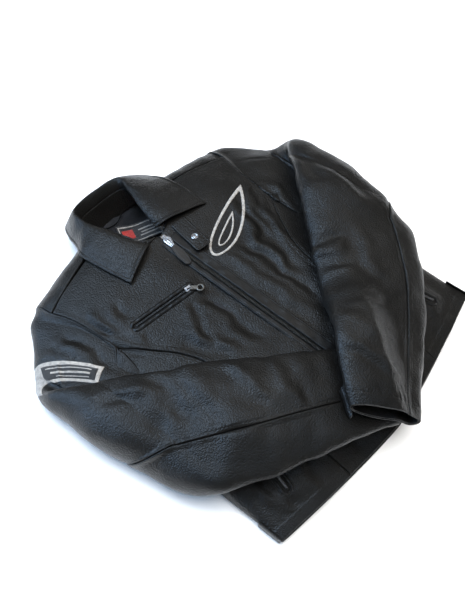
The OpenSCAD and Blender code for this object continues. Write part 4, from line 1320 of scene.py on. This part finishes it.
def ring_at(name, place, r, wire, mat, slot, steps=40, sides=14):
    """A round ring of the chest pull, in its own XY plane."""
    a = np.linspace(0, 2 * math.pi, steps, endpoint=False)[:, None]
    b = np.linspace(0, 2 * math.pi, sides, endpoint=False)[None]
    p = xyz((r + wire * np.cos(b)) * np.cos(a), (r + wire * np.cos(b)) * np.sin(a), wire * np.sin(b))
    turned(name, p, place, mat, capped=False, slot=slot, body="chest_pull_body")


def keep_cad(node, mat, bevel=0.25):
    """A CAD solid that is right as it is: softer edges and a metal finish."""
    obj = bpy.data.objects[node]
    obj.data.materials.clear()
    obj.data.materials.append(mat)
    mod = obj.modifiers.new("bevel", "BEVEL")
    mod.width = bevel / 1000
    mod.segments = 3
    mod.limit_method = "ANGLE"
    mod.angle_limit = math.radians(35)


# ---------------- build
def build():
    for side, _ in SIDES:
        front_panel(side)
        side_panel(side)
        front_lining(side)
        placket(side)
        yoke(side)
    back_panel()
    back_lining()
    collar()
    sleeves()
    zips()
    trims()
    pull_leather()
    main_pull()
    chest_pull()
    for node in ("main_slider", "chest_slider", "right_hand_slider", "left_hand_slider"):
        keep_cad(node, BRIGHT)
    for node in ("right_hand_pull", "left_hand_pull", "zip_top_stops", "zip_bottom_box", "snap_socket"):
        keep_cad(node, DULL)
    keep_cad("snap_stud", TEETH)


build()


# ---------------- stage, lamps and camera
LAMPS = [  # name, place, diameter, power, colour, shows in reflections
    ("window", (-1.75, 1.55, 1.25), 1.5, 46, (0.45, 0.68, 1.0), True),
    ("skylight", (-0.40, 0.96, 2.16), 1.2, 34, (0.60, 0.78, 1.0), True),
    ("ceiling", (0.2, -0.3, 3.0), 3.0, 180, (1.0, 0.97, 0.93), False),
    ("low_window", (-0.10, -1.0, 2.4), 0.9, 5, (0.45, 0.70, 1.0), True),
    ("lounge", (1.30, 0.25, 2.30), 1.8, 9, (1.0, 0.96, 0.90), True)]
LAMPS_AIM = (0.0, 0.0, 0.05)
CAMERA_ANGLES = (57.4, -51.3)     # elevation and azimuth in degrees
CAMERA_TARGET = (-13.0, -242.0, 60.0)
CAMERA_AWAY = 1.327


def aimed(name, data, place, z_axis):
    """An object whose back faces along z_axis, as a lamp's or a camera's does."""
    obj = bpy.data.objects.new(name, data)
    bpy.context.scene.collection.objects.link(obj)
    obj.location = place
    obj.rotation_euler = Vector(z_axis).to_track_quat("Z", "Y").to_euler()
    return obj


def stage():
    """A pale floor and a soft studio."""
    bpy.ops.mesh.primitive_plane_add(size=9, location=(0, 0, -0.0005))
    floor = bpy.context.object
    floor.name = "floor"
    look = Look("pale_floor", Roughness=0.9)
    look.paint("Base Color", look.noise(3, 2), (0.3, 0.86), (0.7, 0.9))
    floor.data.materials.append(look.material)
    world = bpy.data.worlds.new("studio")
    bpy.context.scene.world = world
    world.use_nodes = True
    world.node_tree.nodes["Background"].inputs["Color"].default_value = (1.0, 0.97, 0.93, 1)
    world.node_tree.nodes["Background"].inputs["Strength"].default_value = 0.11
    bpy.context.scene.view_settings.view_transform = "Standard"
    for name, place, size, power, colour, gloss in LAMPS:
        data = bpy.data.lights.new(name, "AREA")
        data.shape = "DISK"
        data.size = size
        data.energy = power
        data.color = colour
        aimed(name, data, place, np.array(place) - np.array(LAMPS_AIM)).visible_glossy = gloss


def camera():
    e, a = np.radians(CAMERA_ANGLES)
    back = np.array([math.sin(a) * math.cos(e), -math.cos(a) * math.cos(e), math.sin(e)])
    data = bpy.data.cameras.new("camera")
    data.sensor_width = 36
    data.lens = 45
    target = np.array(CAMERA_TARGET) / 1000 + SHIFT
    bpy.context.scene.camera = aimed("camera", data, target + back * CAMERA_AWAY, back)


stage()
camera()
